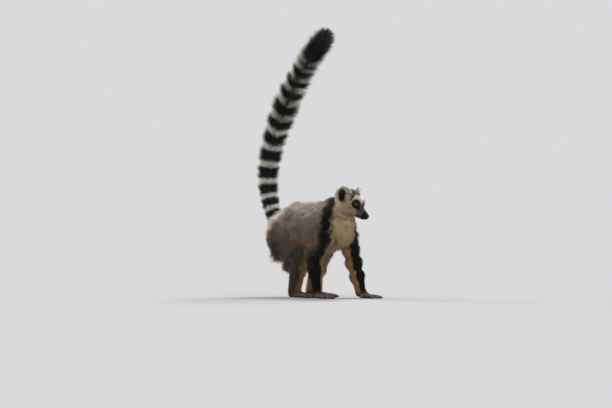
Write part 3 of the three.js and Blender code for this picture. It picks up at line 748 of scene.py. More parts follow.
TRUNK, NECK, TAIL, HEAD = Trunk(), Neck(), Tail(), Head()


class Part(IntEnum):
    """A part of the skin that grows its own kind of coat."""

    TRUNK = 0
    NECK = 1
    HEAD = 2
    EARS = 3
    FORE_RIGHT = 4
    FORE_LEFT = 5
    HIND_RIGHT = 6
    HIND_LEFT = 7
    TAIL = 8


class Body:
    """The whole animal as one field, at the level of the coat or of the skin."""

    # Widths of the rounded joints between the parts.
    NECK_ROUND = 26.0
    LIMB_ROUND = {Level.COAT: 16.0, Level.SKIN: 14.0}
    HEAD_ROUND = 12.0
    TAIL_ROUND = {Level.COAT: 1.0, Level.SKIN: 14.0}
    WRIST_ROUND = 9.0
    DIGIT_ROUND = 1.6
    PAW_HAIR = 2.0  # depth of the hair on the backs of hands and feet
    DIGIT_HAIR = 0.45
    HEAD_REACH = 64.0  # half the side of a box that holds the head

    def __init__(self, level: Level) -> None:
        """Makes the shapes of every part at this level.

        Args:
            level: coat or skin.
        """
        self.level = level
        self.trunk, *self.haunches = TRUNK.shapes(level)
        self.neck = NECK.shape(level)
        self.legs = {name: limb.leg(level) for name, limb in LIMBS.items()}
        self.soles = {name: limb.sole() for name, limb in LIMBS.items()}
        less = self.DIGIT_HAIR * level
        self.digits = {name: [limb.digit(d, less) for d in limb.paw.digits] for name, limb in LIMBS.items()}
        self.head_box = (np.asarray(HEAD.at) - self.HEAD_REACH, np.asarray(HEAD.at) + self.HEAD_REACH)

    def limb(self, name: str, p: Array) -> Array:
        """How far points lie outside one limb, with its paw and digits.

        Args:
            name: which limb.
            p: points.

        Returns:
            Distances.
        """
        down = self.PAW_HAIR * self.level * ramp(3.5, 11.0, p[:, 2])
        paw = near(self.soles[name], p) + down
        for digit in self.digits[name]:
            paw = blended(paw, near(digit, p), self.DIGIT_ROUND)
        return blended(near(self.legs[name], p), paw, self.WRIST_ROUND)

    def parts(self, p: Array) -> dict[str, Array]:
        """Each part's own distance, by name, with ears as a part of the head.

        Args:
            p: points.

        Returns:
            Distances for the trunk, neck, head, tail and four limbs.
        """
        found = {"trunk": near(self.trunk, p), "neck": near(self.neck, p)}
        for haunch in self.haunches:
            found["trunk"] = blended(found["trunk"], near(haunch, p), self.LIMB_ROUND[Level.COAT])
        for name in LIMBS:
            found[name] = self.limb(name, p)
        low, high = self.head_box
        gap = np.linalg.norm(np.maximum(np.maximum(low - p, p - high), 0.0), axis=1)
        close = gap < FAR
        head = gap + 1.0
        head[close] = HEAD.distance(p[close], self.level)
        found["head"] = head
        found["tail"] = TAIL.distance(p, self.level)
        return found

    def distance(self, p: Array) -> Array:
        """How far points lie outside the animal; the floor cuts its soles flat.

        Args:
            p: points.

        Returns:
            Distances, negative inside.
        """
        found = self.parts(p)
        d = blended(found["trunk"], found["neck"], self.NECK_ROUND)
        for name in LIMBS:
            d = blended(d, found[name], self.LIMB_ROUND[self.level])
        d = blended(d, found["head"], self.HEAD_ROUND)
        d = blended(d, found["tail"], self.TAIL_ROUND[self.level])
        return np.maximum(d, -p[:, 2])


# ---- The skin ----
class Net:
    """A closed surface through a field, on a grid of uneven steps.

    Each grid cell that the surface passes through gets one point, the mean of where the surface crosses
    the cell's edges, and each crossed edge gets a square face between its four cells.
    """

    CHUNK = 150_000
    COARSE = 4  # steps between the points that are tried first

    def __init__(self, field_of: Callable[[Array], Array], axes: list[Array]) -> None:
        """Keeps the field and the grid's places along X, Y and Z."""
        self.field_of, self.axes = field_of, axes

    def values(self, where: list[Array]) -> Array:
        """The field at points given by their indices on each axis, worked out in chunks.

        Args:
            where: indices of the points on each axis.

        Returns:
            The field at each point.
        """
        out = np.empty(len(where[0]))
        for start in range(0, len(out), self.CHUNK):
            part = slice(start, start + self.CHUNK)
            out[part] = self.field_of(np.stack([a[w[part]] for a, w in zip(self.axes, where)], 1))
        return out

    def band(self) -> Array:
        """The field on the whole grid: exact near the surface, and only its sign elsewhere.

        Returns:
            An array over the grid.
        """
        sizes = [len(a) for a in self.axes]
        picks = [np.unique(np.append(np.arange(0, n, self.COARSE), n - 1)) for n in sizes]
        mesh = np.meshgrid(*picks, indexing="ij")
        rough = self.values([m.ravel() for m in mesh]).reshape(mesh[0].shape)
        least = np.abs(rough)
        for axis in range(3):
            count = least.shape[axis] - 1
            least = np.minimum(least.take(range(count), axis), least.take(range(1, count + 1), axis))
        steps = [np.diff(a[p]) for a, p in zip(self.axes, picks)]
        reach = np.sqrt(sum(s**2 for s in np.meshgrid(*steps, indexing="ij")))
        close = least < 1.15 * reach
        cells = [np.clip(np.searchsorted(p, np.arange(n), side="right") - 1, 0, len(p) - 2)
                 for p, n in zip(picks, sizes)]
        lookup = np.ix_(*cells)
        values = rough[lookup].astype(np.float32)
        chosen = np.nonzero(close[lookup])
        values[chosen] = self.values(list(chosen))
        values[values == 0] = 1e-6
        return values

    def surface(self) -> tuple[Array, Array]:
        """The surface as points and triangles.

        Returns:
            Points, and three point numbers for each triangle, turned outwards.
        """
        values = self.band()
        shape = values.shape
        ids, hits, flips = [], [], []
        for axis in range(3):
            u, v = (axis + 1) % 3, (axis + 2) % 3
            low = np.moveaxis(values, axis, 0)[:-1]
            high = np.moveaxis(values, axis, 0)[1:]
            found = np.nonzero((low < 0) != (high < 0))
            a, b = low[found], high[found]
            order = [axis] + [k for k in range(3) if k != axis]
            at = [None] * 3
            for k, index in zip(order, found):
                at[k] = index
            t = a / (a - b)
            point = np.stack([self.axes[k][at[k]] for k in range(3)], 1)
            point[:, axis] += t * (self.axes[axis][at[axis] + 1] - self.axes[axis][at[axis]])
            ring = []
            for du, dv in ((1, 1), (0, 1), (0, 0), (1, 0)):
                cell = list(at)
                cell[u], cell[v] = at[u] - du, at[v] - dv
                ring.append(np.ravel_multi_index(cell, shape))
            ids.append(np.stack(ring, 1))
            hits.append(point)
            flips.append(a >= 0)
        rings, hits, flips = np.concatenate(ids), np.concatenate(hits), np.concatenate(flips)
        _, inverse = np.unique(rings.ravel(), return_inverse=True)
        rings = inverse.reshape(rings.shape)
        share = np.bincount(rings.ravel())
        points = np.stack([np.bincount(rings.ravel(), np.repeat(hits[:, k], 4)) / share for k in range(3)], 1)
        rings[flips] = rings[flips][:, ::-1]
        return points, self.halved(points, rings)

    @staticmethod
    def halved(points: Array, rings: Array) -> Array:
        """Cuts four-sided faces across their shorter diagonal.

        Args:
            points: the points.
            rings: four point numbers for each face.

        Returns:
            Three point numbers for each triangle.
        """
        a, b, c, d = (points[rings[:, k]] for k in range(4))
        first = (np.linalg.norm(a - c, axis=1) <= np.linalg.norm(b - d, axis=1))[:, None]
        one = np.where(first, rings[:, [0, 1, 2]], rings[:, [1, 2, 3]])
        two = np.where(first, rings[:, [0, 2, 3]], rings[:, [1, 3, 0]])
        return np.stack([one, two], 1).reshape(-1, 3)

    def evened(self, points: Array, faces: Array, rounds: int, limit: float) -> Array:
        """Moves each point half way to the middle of its neighbours, then back onto the surface.

        Args:
            points: the points.
            faces: the triangles.
            rounds: how often.
            limit: the furthest that one pull may go.

        Returns:
            The moved points.
        """
        pairs = np.concatenate([faces[:, [0, 1]], faces[:, [1, 2]], faces[:, [2, 0]]])
        count = np.bincount(pairs[:, 0], minlength=len(points)).astype(float)
        for _ in range(rounds):
            sums = [np.bincount(pairs[:, 0], points[pairs[:, 1], k], len(points)) for k in range(3)]
            middle = np.stack(sums, 1)
            points = 0.5 * points + 0.5 * middle / count[:, None]
            for _ in range(2):
                points = self.pulled(points, limit)
        return points

    def pulled(self, points: Array, limit: float) -> Array:
        """Moves points along the field's slope onto its surface, no further than the limit.

        Args:
            points: the points.
            limit: the furthest that one may go.

        Returns:
            The moved points.
        """
        out = np.empty_like(points)
        for start in range(0, len(points), self.CHUNK):
            p = points[start : start + self.CHUNK]
            here, slope = self.slope(p)
            steep = np.maximum(np.linalg.norm(slope, axis=1), 0.3)
            move = np.clip(here / steep, -limit, limit) / steep
            out[start : start + self.CHUNK] = p - slope * move[:, None]
        return out

    def slope(self, p: Array) -> tuple[Array, Array]:
        """The field and its slope at points, by small steps along each axis.

        Args:
            p: points.

        Returns:
            The values and the slopes.
        """
        here, e = self.field_of(p), 0.05
        steps = [(self.field_of(p + e * np.eye(3)[k]) - here) / e for k in range(3)]
        return here, np.stack(steps, 1)


def spaced(low: float, high: float, step: float, fine: Sequence[tuple[float, float, float]]) -> Array:
    """Places along an axis whose spacing is finer in some stretches.

    Args:
        low: the first place.
        high: about the last one.
        step: the usual spacing.
        fine: stretches of start, end and spacing; the finest one holds.

    Returns:
        The places, in order.
    """
    places = [low]
    while places[-1] < high:
        here = places[-1] + 1e-6
        places.append(places[-1] + min([step] + [s for a, b, s in fine if a <= here < b]))
    return np.array(places)


@dataclass
class Skin:
    """The one skin of the whole animal, and what the coat needs to know at each of its points."""

    step: float = 2.9
    # For each axis its first and last place, and stretches of start, end and spacing that are finer for
    # the head, the eyes and nose, the hands and feet.
    grid: tuple = ((-216, 206, ((108, 206, 1.5), (146, 196, 1.0), (182, 194, 0.7))),
                   (-84, 84, ((-84, 84, 1.9), (-14, 42, 1.15), (13, 27, 0.8))),
                   (-2.6, 720, ((-3, 24, 1.4), (200, 300, 1.5), (206, 262, 1.0), (209, 223, 0.7))))
    rounds: int = 2  # of evening out
    pull: float = 0.5  # the furthest that one pull goes
    ear_near: float = 0.8  # skin nearer than this to an ear belongs to it
    points: Array = None
    faces: Array = None
    normals: Array = None
    part: Array = None
    depth: Array = None

    def work_out(self) -> None:
        """Makes the surface, its normals, the part at each point and the depth of the coat over it."""
        skin, coat = Body(Level.SKIN), Body(Level.COAT)
        net = Net(skin.distance, [spaced(low, high, self.step, fine) for low, high, fine in self.grid])
        points, faces = net.surface()
        points = net.evened(points, faces, self.rounds, self.pull)
        points[:, 2] = np.maximum(points[:, 2], 0.0)
        self.points, self.faces = points, faces
        self.normals = self.normals_of(points, faces)
        self.depth = -coat.distance(points)
        self.part = self.parts_at(points, skin)
        LOG.info("skin: %d points, %d triangles", len(points), len(faces))

    @staticmethod
    def normals_of(points: Array, faces: Array) -> Array:
        """Normals at points: the sum of the normals of the triangles round each.

        Args:
            points: the points.
            faces: the triangles.

        Returns:
            Unit vectors.
        """
        a, b, c = (points[faces[:, k]] for k in range(3))
        flat = np.cross(b - a, c - a)
        total = [sum(np.bincount(faces[:, k], flat[:, n], len(points)) for k in range(3)) for n in range(3)]
        return unit(np.stack(total, 1))

    def parts_at(self, points: Array, skin: Body) -> Array:
        """The nearest part at each point, as the number of a Part; an ear comes before the head.

        Args:
            points: points of the skin.
            skin: the body at the skin's level.

        Returns:
            Part numbers.
        """
        found = skin.parts(points)
        ear = HEAD.ear.distance(folded(HEAD.inside(points)), Level.SKIN)
        order = ("trunk", "neck", "head", "ears", *LIMBS, "tail")
        found["ears"] = np.where(ear < self.ear_near, ear - 0.9, np.inf)
        return np.argmin(np.stack([found[name] for name in order]), axis=0)


# ---- Markings ----
@dataclass(frozen=True)
class Palette:
    """Colours of the hair and of the naked skin, as sRGB hex."""

    back: str = "#857b73"
    back_warm: str = "#7f6b5c"
    # painted light on the rump's top
    painted_top_light: str = "#a99b90"
    rump: str = "#86807a"
    # brown side hair darkened with painted shade
    shaded_brown_flank: str = "#756453"
    haunch: str = "#7c7168"
    shin: str = "#54493f"
    # dark fur; on the forelegs it also stands for painted shade
    arm: str = "#2d2723"
    # black fur; on the neck band and the forelegs it also stands for painted shade
    black: str = "#0e0d0f"
    nape: str = "#38332f"
    cream: str = "#dbcaa9"
    # warm cream; on the breast and cheeks it also stands for painted warm bounce light
    buff: str = "#bb966a"
    tan: str = "#9a7350"
    white: str = "#efe9de"
    # pale rump hair brightened with painted rim light from behind
    fringe: str = "#dcd3c6"
    crown: str = "#5c554e"
    muzzle: str = "#5e564e"
    hollow: str = "#45402c"
    # painted shade at the foot of the ear's hollow
    pit: str = "#080706"
    hand: str = "#7d756d"
    tail_white: str = "#f6efe2"
    tail_black: str = "#131216"
    leather: str = "#17161a"
    underside: str = "#2a2728"


class Markings:
    """The lemur's pattern: colours laid one over another, each where a soft mask says."""

    RINGS = (43.7, 75.2, 109.8, 151.2, 200.1, 250.1, 299.3, 343.2, 392, 430.7, 465.4, 500.5, 524)
    RING_HALF = ((30, 5.2), (110, 6.6), (200, 8.4), (300, 8.4), (400, 8.0), (470, 7.0), (524, 5.6))
    PARTING = (0.766, -0.643, 0.0)  # the side of the tail where its hair parts
    TIP = 534.0  # where the black tip starts
    BAND_REAR = ((200, 83), (228, 83), (240, 93), (256, 86), (270, 82))
    BAND_FRONT = ((86, 86), (126, 97), (144, 112), (163, 118), (205, 122), (229, 123), (241, 115),
                  (266, 100))
    BREAST_FLECKS = (((123, -40, 200), (4, 5, 8)), ((130, -33, 188), (4, 5, 5)))
    # Spots of the face, in the order they are laid: colour, place, half sizes, softness and strength.
    # The buff spots on the cheeks are cream hair warmed with painted bounce light.
    PALE_SPOTS = (
        ("buff", (-2, 20, -22), (32, 26, 24), 0.35, 0.6), ("buff", (2, 28, 8), (9, 9, 12), 0.35, 0.4),
        ("white", (14, 10, 20), (10, 14, 8), 0.4, 0.95), ("white", (26, 4, 11), (9, 7, 9), 0.4, 0.5))
    BROW_SPOTS = (
        ("nape", (-40, 6, 18), (18, 26, 22), 0.35, 0.9), ("black", (1, 13, 29.5), (5.5, 5.5, 7), 0.25, 1),
        ("black", (3, 20.5, 23), (6, 6, 7.5), 0.25, 1), ("black", (4.5, 26.5, 15), (6, 5.5, 6.5), 0.25, 1),
        ("arm", (2.5, 4.4, 31), (5, 3.2, 5), 0.3, 1), ("arm", (9, 1.4, 28.6), (5.2, 2.4, 4.5), 0.3, 1),
        ("arm", (-6, 9, 36), (5, 3.5, 5), 0.3, 1), ("arm", (12.6, 29, -7), (4.8, 5, 4.4), 0.35, 1))
    EYE_SPOTS = (
        ("muzzle", (31, 6, -4), (13, 11, 13), 0.3, 0.95), ("muzzle", (29, 0, 5), (9, 8, 8), 0.4, 0.6),
        ("black", (19.5, 16.8, 6.4), (12.2, 11.6, 11.6), 0.1, 1),
        ("black", (26, 12.5, -2.5), (7, 5.5, 6), 0.35, 0.85))

    def __init__(self, palette: Palette) -> None:
        """Keeps the palette."""
        self.palette = palette

    def lay(self, ground: Array, colour: str, mask: Array) -> None:
        """Lays a colour over the ground where the mask says."""
        ground += (linear(getattr(self.palette, colour)) - ground) * np.clip(mask, 0, 1)[:, None]

    def colours(self, p: Array, part: Array) -> Array:
        """The colour of hair that grows at each point.

        Args:
            p: roots of the hair.
            part: the number of the Part at each.

        Returns:
            Linear colours.
        """
        ground = np.zeros_like(p)
        wander = ripple(p, 26.0, 3)[:, 0]
        self.trunk(ground, p + 2.5 * ripple(p, 18.0, 5), wander)
        fore = np.zeros(len(p))
        for number, limb in enumerate(LIMBS.values(), Part.FORE_RIGHT):
            chosen = part == number
            if chosen.any():
                ground[chosen] = self.limb(ground[chosen], p[chosen], limb)
                if limb.paw is HAND:
                    fore[chosen] = ramp(108, 116, p[chosen, 2]) * (1 - self.inner(p[chosen], limb))
        self.neck(ground, p, np.maximum(fore, np.isin(part, (Part.HEAD, Part.NECK, Part.TRUNK))))
        q = HEAD.inside(p)
        head = np.isin(part, (Part.HEAD, Part.EARS)) | (np.linalg.norm(q + [6, 0, 0], axis=1) < 46)
        head &= part != Part.TAIL
        ground[head] = self.head(ground[head], q[head])
        ears = part == Part.EARS
        ground[ears] = self.ears(q[ears])
        tail = part == Part.TAIL
        ground[tail] = self.tail(p[tail])
        return ground

    def trunk(self, ground: Array, p: Array, wander: Array) -> None:
        """Grey back, browner between the shoulders, grey haunches, cream underparts and pale tail root.

        The rump's top is lighter: painted light from above. The sides are darker and browner: brown hair with
        painted shade. The pale band behind the haunches is whitish hair with painted rim light from behind.

        Args:
            ground: the colours so far.
            p: roots.
            wander: a slow ripple that uneven edges follow.
        """
        lay = partial(self.lay, ground)
        x, y, z = p.T
        up = (z - TRUNK.middle) / np.hypot(y, z - TRUNK.middle).clip(1e-6)
        lay("back", np.ones(len(p)))
        lay("rump", ramp(-40, -110, x))
        lay("back_warm", ramp(-20, 50, x) * ramp(-0.5, 0.2, up) * (0.75 + 0.25 * wander))
        # Lighter on the rump's top: painted light from above.
        lay("painted_top_light", ramp(0.3, 0.85, up) * ramp(-125, -80, x) * (0.75 + 0.35 * wander))
        # Darker, browner sides: brown hair with painted shade.
        lay("shaded_brown_flank", ramp(0.45, -0.1, up) * (0.8 + 0.3 * wander))
        saddle = out_of(folded(p), (-36, 44, 212), (26, 24, 14))
        lay("shin", ramp(1.4, 0.5, saddle) * 0.55)
        lay("haunch", ramp(-50, -95, x) * ramp(0.5, -0.2, up))
        lay("tan", ramp(-0.05, -0.5, up) * ramp(-60, -25, x) * ramp(100, 45, x) * 0.7)
        lay("shin", ramp(-0.3, -0.7, up) * ramp(-45, -60, x))
        lay("cream", ramp(-0.62, -0.86, up) * ramp(-50, -20, x))
        # A pale band behind the haunches: whitish hair with painted rim light from behind.
        behind = z - 219 - 1.15 * (x + 78) + 4 * wander
        fringe = ramp(-4, 10, behind) * ramp(-55, -75, x) * ramp(150, 172, z)
        lay("fringe", fringe * (0.9 - 0.6 * ramp(14, 36, behind)))

    @staticmethod
    def turn(p: Array, limb: Limb) -> Array:
        """Degrees round a limb, 0 outward and 90 forward, with a little wander."""
        _, _, off = limb.way_down(p)
        return np.degrees(np.arctan2(off[:, 0], off[:, 1] * limb.side)) + 7 * ripple(p, 16.0, 8)[:, 0]

    def inner(self, p: Array, limb: Limb) -> Array:
        """How far roots lie on a limb's pale inner side."""
        turn = self.turn(p, limb)
        return np.maximum(ramp(limb.pale - 8, limb.pale + 12, turn), ramp(-125, -150, turn))

    def limb(self, ground: Array, p: Array, limb: Limb) -> Array:
        """A dark outer side, a pale inner side, and a grizzled paw. A foreleg's front and forearm go black:
        dark fur with painted shade.

        Args:
            ground: the colours so far.
            p: roots on this limb.
            limb: which limb.

        Returns:
            The new colours.
        """
        lay = partial(self.lay, ground)
        fraction, turn = limb.way_down(p)[0], self.turn(p, limb)
        inner = self.inner(p, limb)
        paw = ramp(21, 8, p[:, 2])
        if limb.paw is HAND:
            # A foreleg's front and lower half go dark, then black: dark fur with painted shade.
            front = ramp(8, 35, turn)
            lay("arm", np.maximum(ramp(0.12, 0.34, fraction), front))
            lay("black", np.maximum(front, ramp(0.4, 0.7, fraction)) * 0.85)
            lay("buff", inner * ramp(0.0, 0.1, fraction) * 0.95)
        else:
            lay("haunch", ramp(0.1, 0.3, fraction))
            lay("shin", ramp(0.36, 0.6, fraction))
            lay("buff", inner * ramp(0.3, 0.52, fraction) * 0.95)
        lay("hand", paw * 0.9)
        return ground

    def neck(self, ground: Array, p: Array, chosen: Array) -> None:
        """A black band on each side from ear to arm, dark fur deepened with painted shade, a dark nape, and a
        cream throat and breast.

        Tables give the band's rear and front edge at each height. In front of it the throat and breast are
        cream, off the middle as the left arm reaches ahead, with buff over the cream as painted warm bounce
        light.

        Args:
            ground: the colours so far.
            p: roots.
            chosen: how far this may touch each root.
        """
        lay = partial(self.lay, ground)
        x, y, z = (p + 3.0 * ripple(p, 18.0, 11)).T
        edge = table(self.BAND_FRONT, z)
        rear = table(self.BAND_REAR, z)
        within = ramp(rear - 8, rear + 6, x) * chosen
        lay("nape", within * ramp(240, 256, z))
        side = np.maximum(ramp(168, 182, z), ramp(26, 36, np.abs(y + 4)))
        # The black band: dark fur, made black with painted shade.
        lay("black", within * ramp(6, 16, np.abs(y - 3)) * ramp(100, 118, z) * side)
        middle = ramp(31, 25, np.abs(y + 11)) * ramp(105, 118, x) * ramp(224, 210, z)
        pale = np.maximum(ramp(edge - 5, edge + 4, x) * np.maximum(y < -8, ramp(206, 222, z)), middle)
        pale = np.maximum(pale, ramp(182, 166, z) * ramp(38, 28, np.abs(y + 4)) * ramp(40, 60, x)) * chosen
        lay("cream", pale)
        # Buff over the cream, stronger lower down and uneven: painted warm bounce light.
        bounce_warmth = 0.25 + 0.3 * ramp(215, 150, z) + 0.3 * ramp(-0.2, 0.8, ripple(p, 24.0, 12)[:, 0])
        lay("buff", pale * bounce_warmth)
        for at, size in self.BREAST_FLECKS:
            lay("nape", ramp(1.4, 0.7, out_of(p, at, size)) * chosen * 0.8)

    def spots(self, ground: Array, f: Array, rows: Sequence[tuple]) -> None:
        """Lays soft-edged spots over the face, from rows of colour, place, half sizes, softness, strength."""
        for colour, at, size, soft, strength in rows:
            self.lay(ground, colour, ramp(1 + soft, 1 - soft, out_of(f, at, size)) * strength)

    def head(self, ground: Array, q: Array) -> Array:
        """The face: pale, with a grey crown, dark brow marks, black round the eyes and a black muzzle tip.

        Args:
            ground: the colours so far.
            q: roots in the head's frame.

        Returns:
            The new colours.
        """
        lay = partial(self.lay, ground)
        f = folded(q)
        x, y, z = f.T
        throat = ramp(-42, -30, x) * ramp(16, 4, z + 0.25 * (x + 30))
        face = np.maximum(ramp(-34, -22, x), throat)
        lay("cream", face * ramp(-72, -50, z))
        self.spots(ground, f, self.PALE_SPOTS)
        crown = ramp(22.5, 26.5, z + 0.10 * y - 0.2 * np.minimum(x, 0))
        lay("crown", crown * ramp(15, 8, x) * ramp(40, 24, y))
        self.spots(ground, f, self.BROW_SPOTS)
        lay("muzzle", ramp(21, 31, x - 0.35 * z - 4) * ramp(15, 9, y) * 0.95)
        self.spots(ground, f, self.EYE_SPOTS)
        lay("black", ramp(38, 44.5, x - 0.25 * (z + 14)))
        lay("black", bell(z, Head.lip(x), 2.8) * ramp(21, 27, x) * 0.9)
        self.pit(ground, f, HEAD.ear.pit(f) < 1.3)
        return ground

    def ears(self, q: Array) -> Array:
        """White ears, olive at the top of the hollow and black at its bottom.

        The black, and the grey near the rim behind, are painted shade.

        Args:
            q: roots on the ears, in the head's frame.

        Returns:
            Linear colours.
        """
        f = folded(q)
        share, _, y, d = HEAD.ear.leaf(f, Level.SKIN)
        ground, front = np.zeros_like(q), HEAD.ear.in_front(share, d)
        self.lay(ground, "white", np.ones(len(q)))
        # A grey band on the back of the ear near its rim: painted shade.
        self.lay(ground, "crown", ramp(0.35, 0.75, share) * ramp(1.0, 0.85, share) * ~front * 0.5)
        self.lay(ground, "buff", ramp(4, -14, y) * front * 0.6)
        self.pit(ground, f, front)
        return ground

    def pit(self, ground: Array, f: Array, chosen: Array) -> None:
        """The ear's hollow: olive at its top, and black at its foot as painted shade, on the chosen folded
        points.

        Args:
            ground: the colours so far.
            f: folded roots in the head's frame.
            chosen: which roots it may touch.
        """
        _, x, y, _ = HEAD.ear.leaf(f, Level.COAT)
        inner = ramp(1.12, 0.86, np.hypot((x - 3.0) / 11.0, (y + 1.5) / 19.0)) * chosen
        self.lay(ground, "hollow", inner)
        # Black at the hollow's foot: painted shade.
        self.lay(ground, "pit", inner * ramp(5, -3, y + 0.35 * x))

    def tail(self, p: Array) -> Array:
        """Grey at the root, pale there with painted rim light, then white rings on black, and a black tip.

        A ring's edge wanders a little and, in the upper half, runs to a point along the side where the hair
        parts, and there the dark hair below shows through.

        Args:
            p: roots on the tail.

        Returns:
            Linear colours.
        """
        s, run, off = TAIL.place(p)
        parting = laid(np.broadcast_to(self.PARTING, run.shape), run)
        round_it = np.arccos(np.clip(np.einsum("ij,ij->i", unit(off), unit(parting)), -1, 1))
        seam = ramp(0.42, 0.22, round_it) * ramp(290, 350, s)
        chevron = 9.0 * ramp(1.1, 0.0, round_it) * ramp(200, 330, s)
        s = s - 3.0 * (s > 400) + 0.9 * ripple(p, 9.0, 21)[:, 0] + chevron
        rings = np.asarray(self.RINGS)
        nearest = rings[np.abs(s[:, None] - rings[None]).argmin(1)]
        half = table(self.RING_HALF, s)
        pale = ramp(half + 1.6, half - 1.6, np.abs(s - nearest)) * (s < self.TIP + 3)
        ground = np.zeros_like(p)
        self.lay(ground, "tail_black", np.ones(len(p)))
        self.lay(ground, "tail_white", pale * (1 - 0.85 * seam))
        # The tail's root takes the same pale colour: whitish hair with painted rim light.
        self.lay(ground, "fringe", ramp(26, 12, s) * 0.8)
        return ground

    @staticmethod
    def bare(p: Array, normals: Array) -> Array:
        """How naked the skin is: nose, lips, lids, soles and the undersides of the digits.

        Args:
            p: points of the skin.
            normals: its normals there.

        Returns:
            Values from 0, furred, to 1, naked.
        """
        q = folded(HEAD.inside(p))
        lids = ramp(10.6, 9.3, np.linalg.norm(q - np.asarray(HEAD.eye), axis=1))
        lids = lids * ramp(0.24, 0.14, HEAD.opening(q))
        nose = ramp(8.4, 6.6, np.linalg.norm(q - np.asarray(HEAD.nose), axis=1))
        lips = bell(q[:, 2], Head.lip(q[:, 0]), 1.3) * ramp(22, 28, q[:, 0]) * ramp(14, 12, q[:, 1])
        sole = ramp(7.5, 4.0, p[:, 2]) * ramp(0.1, -0.5, normals[:, 2])
        return np.clip(lids + nose + lips + sole, 0, 1)


# ---- Making meshes ----
class Placing:
    """Puts the animal's own frame, in millimetres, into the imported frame, in metres."""

    def __init__(self) -> None:
        """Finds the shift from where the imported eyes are."""
        found = []
        for side in Side:
            low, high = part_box(f"eye_{side.name.lower()}")
            x, y, z = HEAD.eye
            own = HEAD.outside(np.array([[x, y * side, z]]))[0]
            found.append((np.array(low) + np.array(high)) / 2 - own * MM)
        self.shift = (found[0] + found[1]) / 2 * np.array([1.0, 1.0, 0.0])

    def metres(self, points: Array) -> Array:
        """The animal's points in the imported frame."""
        return points * MM + self.shift


@dataclass
class Build:
    """What every sub-assembly needs to put its pieces into the scene."""

    placing: Placing

    def piece(self, name: str, points: Array, faces: Array, material: bpy.types.Material,
              slot: str) -> bpy.types.Object:
        """Makes one smooth-shaded piece from points and triangles and sets it on the animal.

        Args:
            name: the piece's name.
            points: places in the animal's frame.
            faces: three point numbers for each triangle.
            material: its finish.
            slot: not used.

        Returns:
            The new object.
        """
        mesh = bpy.data.meshes.new(name)
        mesh.vertices.add(len(points))
        mesh.vertices.foreach_set("co", self.placing.metres(points).astype(np.float32).ravel())
        mesh.loops.add(faces.size)
        mesh.loops.foreach_set("vertex_index", faces.astype(np.int32).ravel())
        mesh.polygons.add(len(faces))
        mesh.polygons.foreach_set("loop_start", np.arange(0, faces.size, 3, dtype=np.int32))
        mesh.polygons.foreach_set("use_smooth", np.full(len(faces), True))
        mesh.materials.append(material)
        mesh.update(calc_edges=True)
        made = bpy.data.objects.new(name, mesh)
        bpy.context.scene.collection.objects.link(made)
        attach(made, "root")
        LOG.info("%s: %d triangles", name, len(faces))
        return made

    @staticmethod
    def colour_points(made: bpy.types.Object, colours: Array) -> None:
        """Writes linear colours to a piece's points, as the attribute that its finish reads.

        Args:
            made: the piece.
            colours: one for each point.
        """
        layer = made.data.color_attributes.new(MARKS, "FLOAT_COLOR", "POINT")
        filled = np.concatenate([colours, np.ones((len(colours), 1))], 1)
        layer.data.foreach_set("color", filled.astype(np.float32).ravel())

    @staticmethod
    def map_points(made: bpy.types.Object, name: str, places: Array, faces: Array) -> None:
        """Writes a UV map from a place for each point."""
        layer = made.data.uv_layers.new(name=name)
        layer.uv.foreach_set("vector", places[faces.ravel()].astype(np.float32).ravel())


# ---- Finishes ----
class Nodes:
    """Adds nodes to one material."""

    def __init__(self, name: str) -> None:
        """Makes the material and empties its tree.

        Args:
            name: the finish's name.
        """
        self.material = bpy.data.materials.new(name)
        self.material.use_nodes = True
        self.tree = self.material.node_tree
        self.tree.nodes.clear()

    def add(self, kind: str, settings: dict | None = None, links: dict | None = None,
            **values: object) -> bpy.types.Node:
        """Adds a node with its settings, its links and its socket values.

        Args:
            kind: the node's type, without its ShaderNode prefix.
            settings: properties of the node.
            links: socket names, or numbers, to the output sockets that feed them.
            values: socket names, with spaces as underscores, to plain values.

        Returns:
            The node.
        """
        node = self.tree.nodes.new("ShaderNode" + kind)
        for key, value in (settings or {}).items():
            setattr(node, key, value)
        for key, value in values.items():
            node.inputs[key.replace("_", " ")].default_value = value
        for key, source in (links or {}).items():
            self.tree.links.new(source, node.inputs[key])
        return node

    def finish(self, shader: bpy.types.Node) -> bpy.types.Material:
        """Joins the shader to the surface output and gives back the material."""
        self.add("OutputMaterial", links={"Surface": shader.outputs["BSDF"]})
        return self.material


def rgba(colour: str) -> tuple[float, float, float, float]:
    """A hex colour as a socket value."""
    return (*linear(colour), 1.0)


@dataclass(frozen=True)
class CoatFinish:
    """Guard hair and wool: keratin, IOR about 1.55, dull, with a soft sheen against the light.

    The colour comes from the markings, and a fine noise makes neighbouring locks differ, as hair of
    banded colour does.
    """

    name: str
    roughness: float = 0.62
    sheen: float = 0.06
    grain_mm: float = 5.0  # size of the patches that differ
    spread: float = 0.22  # how much they differ

    def make(self) -> bpy.types.Material:
        """Builds the material.

        Returns:
            The material.
        """
        n = Nodes(self.name)
        marks = n.add("Attribute", {"attribute_name": MARKS})
        here = n.add("TexCoord").outputs["Object"]
        grain = n.add("TexNoise", links={"Vector": here}, Scale=1.0 / (self.grain_mm * MM), Detail=3.0,
                      Roughness=0.6)
        level = n.add("MapRange", links={"Value": grain.outputs["Fac"]}, From_Min=0.3, From_Max=0.7,
                      To_Min=1 - self.spread, To_Max=1 + self.spread)
        tint = n.add("Mix", {"data_type": "RGBA", "blend_type": "MULTIPLY"}, Factor=1.0)
        n.tree.links.new(marks.outputs["Color"], tint.inputs[6])
        n.tree.links.new(level.outputs["Result"], tint.inputs[7])
        shader = n.add("BsdfPrincipled", links={"Base Color": tint.outputs[2]}, Roughness=self.roughness,
                       IOR=1.55, Specular_IOR_Level=0.16, Sheen_Weight=self.sheen, Sheen_Roughness=0.45)
        return n.finish(shader)


